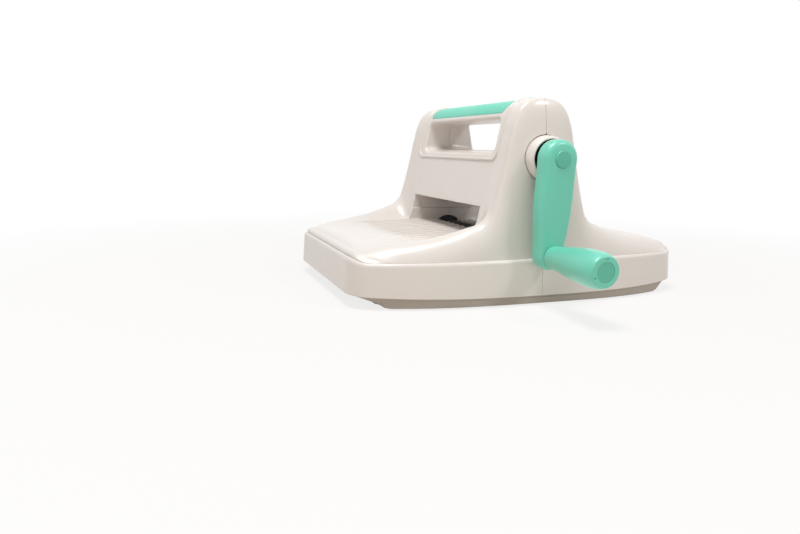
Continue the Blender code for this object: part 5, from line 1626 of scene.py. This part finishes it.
class DIECUTTER_OT_rollers(bpy.types.Operator):
    """Build both rollers and their flanged bushes"""

    bl_idname = "diecutter.rollers"
    bl_label = "Rollers"

    def execute(self, context):
        middle = MIDDLE_TO_ORIGIN.translation.x
        for name, node, height in (("upper_roll", "upper_roller", UPPER_Z),
                                   ("lower_roll", "lower_roller", LOWER_Z)):
            left, right = (softened([(0.0, ROLLER_RADIUS), (half, ROLLER_RADIUS),
                                     (half, JOURNAL_RADIUS), (corner.x - middle, JOURNAL_RADIUS)],
                                    BEARING_ROUND)
                           for half, corner in zip((-ROLLER_HALF, ROLLER_HALF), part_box(node)))
            roll = turned(left[::-1] + right[1:], FINE, centre=(0.0, height))
            dress(mesh_object(name, roll), node + "_body", "roller", node)
        start = ROLLER_HALF + GAP
        shoulder = PLATE_INNER - GAP
        bore = JOURNAL_RADIUS + GAP
        sleeve = bore + BUSH_WALL
        for level, height, flange in (("lower", LOWER_Z, LOWER_FLANGE),
                                      ("upper", UPPER_Z, UPPER_FLANGE)):
            profile = softened([(start, bore + GAP), (start, flange), (shoulder, flange),
                                (shoulder, sleeve), (PLATE_OUTER, sleeve)], BEARING_ROUND)
            for side, label in ((-1, "left"), (1, "right")):
                node = f"{level}_{label}_bush"
                sided = [(side * along, radius) for along, radius in profile][::side]
                bush = mesh_object(node + "_flange", turned(sided, FINE, bore, (0.0, height)))
                dress(bush, "base", "black", node)
        return {"FINISHED"}


class DIECUTTER_OT_mechanism(bpy.types.Operator):
    """Finish the frame, gears, shafts and rings that lie inside"""

    bl_idname = "diecutter.mechanism"
    bl_label = "Mechanism"

    def execute(self, context):
        groups = {
            "plate": ("left_plate", "right_plate", "crank_bracket"),
            "steel": ("low_front_tie", "low_rear_tie", "high_front_tie", "high_rear_tie",
                      "bracket_post_front", "bracket_post_rear", "crank_shaft", "crank_pinion",
                      "drive_gear", "upper_sync_gear", "lower_sync_gear", "drive_gear_ring",
                      "upper_sync_ring", "lower_sync_ring", "crank_screw", "grip_pin"),
            "bronze": ("crank_plate_bush", "crank_bracket_bush"),
        }
        for key, nodes in groups.items():
            for node in nodes:
                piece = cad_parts[node]
                if not piece.material_slots:
                    piece.data.materials.append(None)
                for slot in piece.material_slots:
                    slot.material = finish_material(key)
        return {"FINISHED"}


class DIECUTTER_OT_crank(bpy.types.Operator):
    """Build the bearing collar, the crank arm with its cap, and the turning grip"""

    bl_idname = "diecutter.crank"
    bl_label = "Crank"

    def execute(self, context):
        to_axis = (MIDDLE_TO_ORIGIN @ Matrix.Translation((0.0, 0.0, CRANK_Z))
                   @ Matrix.Rotation(edit("crank").hang, 4, "X"))
        dress(mesh_object("bearing_collar", collar_mesh()), "base", "collar", "crank_collar")
        for make, body, finish, node in (
                (arm_piece, "crank_body", "mint", "crank_arm"),
                (cap_piece, "crank_body", "cap", "crank_cap"),
                (grip_piece, "grip_body", "mint", "crank_grip"),
                (grip_end_piece, "grip_body", "cap", "grip_cap")):
            dress(make(), body, finish, node, to_axis)
        return {"FINISHED"}


def collar_mesh():
    """White collar with a domed rim, a deep dish behind the arm and a spigot in the wall."""
    start = COLLAR_SEAT - COLLAR_SPIGOT_LENGTH
    seat = COLLAR_SEAT + GAP
    rim = COLLAR_RADIUS - COLLAR_ROUND
    floor = COLLAR_FACE - COLLAR_RECESS
    profile = softened([(start, SHAFT_RADIUS + 2 * GAP), (start, COLLAR_SPIGOT),
                        (seat, COLLAR_SPIGOT), (seat, COLLAR_RADIUS)], BEARING_ROUND / 2)
    profile += [(COLLAR_FACE - COLLAR_DOME * (1 - math.sin(turn)),
                 COLLAR_RADIUS - COLLAR_ROUND * (1 - math.cos(turn)))
                for turn in quarter_turns(COLLAR_STEPS)]
    profile += softened([(COLLAR_FACE, rim - HAIR), (COLLAR_FACE, rim - COLLAR_LIP),
                         (floor, rim - 2 * COLLAR_LIP), (floor, SHAFT_RADIUS + 2 * GAP)], GAP)
    return turned(profile, FINE, SHAFT_RADIUS + GAP, (0.0, CRANK_Z))


def arm_outline(inset):
    """Tapered arm outline about the shaft axis: wide round head, narrower round end."""
    sizes = edit("crank")
    head = sizes.head_radius - inset
    end = sizes.end_radius - inset
    lean = math.asin((head - end) / sizes.throw)
    points = arc((0, 0), head, -lean, math.pi + lean, HEAD_STEPS)
    tail = arc((0, -sizes.throw), end, math.pi + lean, 2 * math.pi - lean, END_STEPS)
    return (points + flank(points[-1], tail[0], -1, lean) + tail
            + flank(tail[-1], points[0], 1, lean))


def flank(start, end, side, lean):
    """Points between both round ends on one long side, slightly bellied."""
    line = []
    for index in range(1, FLANK_STEPS):
        share = index / FLANK_STEPS
        belly = ARM_BELLY * math.sin(math.pi * share) ** 2
        line.append((start[0] + (end[0] - start[0]) * share + side * math.cos(lean) * belly,
                     start[1] + (end[1] - start[1]) * share + math.sin(lean) * belly))
    return line


def arm_piece():
    """Arm with a soft outer edge, a cap pocket, a shaft bore and the grip pin's hole."""
    sizes = edit("crank")
    outer = ARM_INNER + sizes.thickness
    levels = [(ARM_INNER + ARM_BACK * (1 - math.cos(turn)), ARM_BACK * (1 - math.sin(turn)))
              for turn in quarter_turns(ARM_BACK_STEPS)]
    levels += [(outer - ARM_CROWN - (ARM_EDGE - ARM_CROWN) * (1 - math.sin(turn)),
                ARM_EDGE * (1 - math.cos(turn))) for turn in quarter_turns(ARM_EDGE_STEPS)]
    levels += [(outer - ARM_CROWN * (1 - share) ** 2, ARM_EDGE + (ARM_MIDDLE - ARM_EDGE) * share)
               for share in (index / ARM_FACE_STEPS for index in range(1, ARM_FACE_STEPS + 1))]
    arm = mesh_object("arm", skin([[(along, y, z) for y, z in arm_outline(inset)]
                                   for along, inset in levels]))
    neck = COLLAR_FACE + GAP
    carve(arm, bar(neck, ARM_INNER + ARM_BACK, ARM_NECK), "UNION")
    carve(arm, bar(neck - OVERRUN, outer + OVERRUN, SHAFT_RADIUS + GAP))
    pocket = CAP_RADIUS + GAP / 2
    carve(arm, turned([(outer - CAP_THICKNESS - SCREW_HEAD, pocket), (outer, pocket),
                       (outer + GAP, pocket + GAP), (outer + OVERRUN, pocket + GAP)]))
    carve(arm, bar(outer - PIN_SEAT, outer + OVERRUN, PIN_RADIUS + GAP,
                   centre=(0.0, -sizes.throw)))
    return arm


def cap_piece():
    """Round cap over the hub, slightly crowned."""
    outer = ARM_INNER + edit("crank").thickness
    crown = [(outer + CAP_PROUD - CAP_CROWN * share ** 2, CAP_RADIUS * share)
             for share in CAP_RINGS]
    profile = softened([(outer - CAP_THICKNESS, CAP_RADIUS), (crown[0][0] - CAP_ROUND, CAP_RADIUS),
                        crown[0], crown[1]], CAP_ROUND / 2)
    return mesh_object("hub_cap", turned(profile + crown[2:]))


def grip_piece():
    """Flared grip with a rounded end, two pin marks and a recess for its cap."""
    sizes = edit("crank")
    start = ARM_INNER + sizes.thickness + GAP
    neck, belly, end = sizes.neck_radius, sizes.belly_radius, sizes.tip_radius
    full = sizes.grip_length * GRIP_FULL
    profile = [(start, neck - NECK_ROUND), (start + NECK_ROUND / 4, neck - NECK_ROUND * 3 / 8),
               (start + NECK_ROUND, neck)]
    for index in range(1, GRIP_STEPS + 1):
        share = index / GRIP_STEPS
        grow = math.sin(share * QUARTER) ** GRIP_FLARE
        profile.append((max(start + full * share, start + NECK_ROUND * 5 / 4),
                        neck + (belly - neck) * grow))
    profile += [(start + full + (sizes.grip_length - full) * math.sin(turn),
                 end + (belly - end) * math.cos(turn))
                for turn in quarter_turns(GRIP_END_STEPS)[1:]]
    grip = mesh_object("hand_grip", turned(profile, FINE, PIN_RADIUS + GAP))
    tip = start + sizes.grip_length
    cap_start = tip - GRIP_CAP_RECESS - GRIP_CAP_THICKNESS
    head = cap_start - PIN_HEAD_HEIGHT - 3 * GAP
    carve(grip, bar(head, cap_start, PIN_HEAD + GAP))
    carve(grip, bar(cap_start - GAP, tip + OVERRUN, GRIP_CAP + GAP / 4, FINE))
    for turn in PIT_TURNS:
        place = (PIT_OFFSET * math.cos(turn), PIT_OFFSET * math.sin(turn))
        carve(grip, turned([(tip - PIT_DEPTH, PIT_RADIUS * PIT_FLOOR),
                            (tip + GAP, PIT_RADIUS * PIT_RIM),
                            (tip + OVERRUN, PIT_RADIUS * PIT_RIM)], COARSE, centre=place))
    grip.data.transform(Matrix.Translation((0.0, 0.0, -sizes.throw)))
    return grip


def grip_end_piece():
    """Flat cap in the grip's end."""
    sizes = edit("crank")
    end = ARM_INNER + sizes.thickness + GAP + sizes.grip_length - GRIP_CAP_RECESS
    profile = softened([(end - GRIP_CAP_THICKNESS, GRIP_CAP), (end, GRIP_CAP),
                        (end, GRIP_CAP / 2)], CAP_ROUND / 4)
    cap = mesh_object("grip_end", turned(profile, FINE))
    cap.data.transform(Matrix.Translation((0.0, 0.0, -sizes.throw)))
    return cap


class DIECUTTER_OT_stage(bpy.types.Operator):
    """Set the floor, the lamps, the sky and the camera"""

    bl_idname = "diecutter.stage"
    bl_label = "Stage"

    def execute(self, context):
        chosen = edit("stage")
        set_floor()
        set_sky(chosen.sky)
        for name, place, size in LAMPS:
            lamp(name + "_lamp", place, size, getattr(chosen, name))
        set_camera(chosen)
        context.scene.view_settings.view_transform = "Standard"
        return {"FINISHED"}


def set_floor():
    """Pale floor that shows white away from the machine and keeps its shadow."""
    mesh_data = bmesh.new()
    bmesh.ops.create_grid(mesh_data, x_segments=4, y_segments=4, size=FLOOR_HALF)
    floor = mesh_object("floor", mesh_data)
    sheet = Sheet(bpy.data.materials.new("pale floor"), Roughness=0.9, Specular_IOR_Level=0.1)
    sheet.set(Base_Color=sheet.mix(sheet.noise(3.0), *FLOOR_TONES))
    away = sheet.vector("LENGTH", sheet.place(), output=1)
    sheet.show_white(sheet.ramp(away, (0.20, 0.80), (0.85, 1.0)), "ShaderNodeEmission",
                     "Material Output")
    floor.data.materials.append(sheet.owner)


def set_sky(strength):
    """Even light from a sky that itself shows white."""
    world = bpy.data.worlds.new("studio sky")
    bpy.context.scene.world = world
    sheet = Sheet(world, "Background", Color=SKY_TONE, Strength=strength)
    sheet.show_white(1.0, "ShaderNodeBackground", "World Output")


def lamp(name, place, size, power):
    """Soft round lamp that points at the machine."""
    light = bpy.data.lights.new(name, "AREA")
    light.shape = "DISK"
    light.size = size
    light.energy = power
    made = bpy.data.objects.new(name, light)
    made.location = place
    made.rotation_euler = (Vector(LAMP_AIM) - Vector(place)).to_track_quat("-Z", "Y").to_euler()
    bpy.context.scene.collection.objects.link(made)


def set_camera(chosen):
    """Camera at its place, turned by yaw and pitch from -X and rolled about its view."""
    level = math.cos(chosen.pitch)
    ahead = Vector((-math.cos(chosen.yaw) * level, math.sin(chosen.yaw) * level,
                    -math.sin(chosen.pitch)))
    right = ahead.cross(Vector((0, 0, 1))).normalized()
    up = right.cross(ahead)
    cos, sin = math.cos(chosen.roll), math.sin(chosen.roll)
    right, up = right * cos + up * sin, up * cos - right * sin
    camera = bpy.data.cameras.new("camera")
    camera.sensor_width = SENSOR_WIDTH
    camera.lens = chosen.focal
    camera.shift_x, camera.shift_y = CAMERA_SHIFT
    made = bpy.data.objects.new("camera", camera)
    bpy.context.scene.collection.objects.link(made)
    turn = Matrix((right, up, -ahead)).transposed().to_4x4()
    made.matrix_world = Matrix.Translation(chosen.camera_place) @ turn
    bpy.context.scene.camera = made


class DIECUTTER_PT_machine(bpy.types.Panel):
    """The machine's settings and the operators that build its pieces"""

    bl_label = "Die Cutter"
    bl_space_type = "VIEW_3D"
    bl_region_type = "UI"
    bl_category = "Die Cutter"

    def draw(self, context):
        for name in ("housing", "crank", "finish", "stage"):
            box = self.layout.box()
            box.label(text=name.capitalize())
            group = edit(name)
            for key in group.bl_rna.properties.keys():
                if key not in ("rna_type", "name"):
                    box.prop(group, key)
        for operator in OPERATORS:
            self.layout.operator(operator.bl_idname)


OPERATORS = (DIECUTTER_OT_housing, DIECUTTER_OT_base, DIECUTTER_OT_rollers,
             DIECUTTER_OT_mechanism, DIECUTTER_OT_crank, DIECUTTER_OT_stage)
CLASSES = (HousingSizes, CrankSizes, FinishChoices, StageSettings, MachineSettings,
           *OPERATORS, DIECUTTER_PT_machine)


def register():
    for made in CLASSES:
        bpy.utils.register_class(made)
    bpy.types.Scene.die_cutter = PointerProperty(type=MachineSettings)


def unregister():
    del bpy.types.Scene.die_cutter
    for made in reversed(CLASSES):
        bpy.utils.unregister_class(made)


def main():
    register()
    bpy.ops.diecutter.housing()
    bpy.ops.diecutter.base()
    bpy.ops.diecutter.rollers()
    bpy.ops.diecutter.mechanism()
    bpy.ops.diecutter.crank()
    bpy.ops.diecutter.stage()


if __name__ == "__main__":
    main()
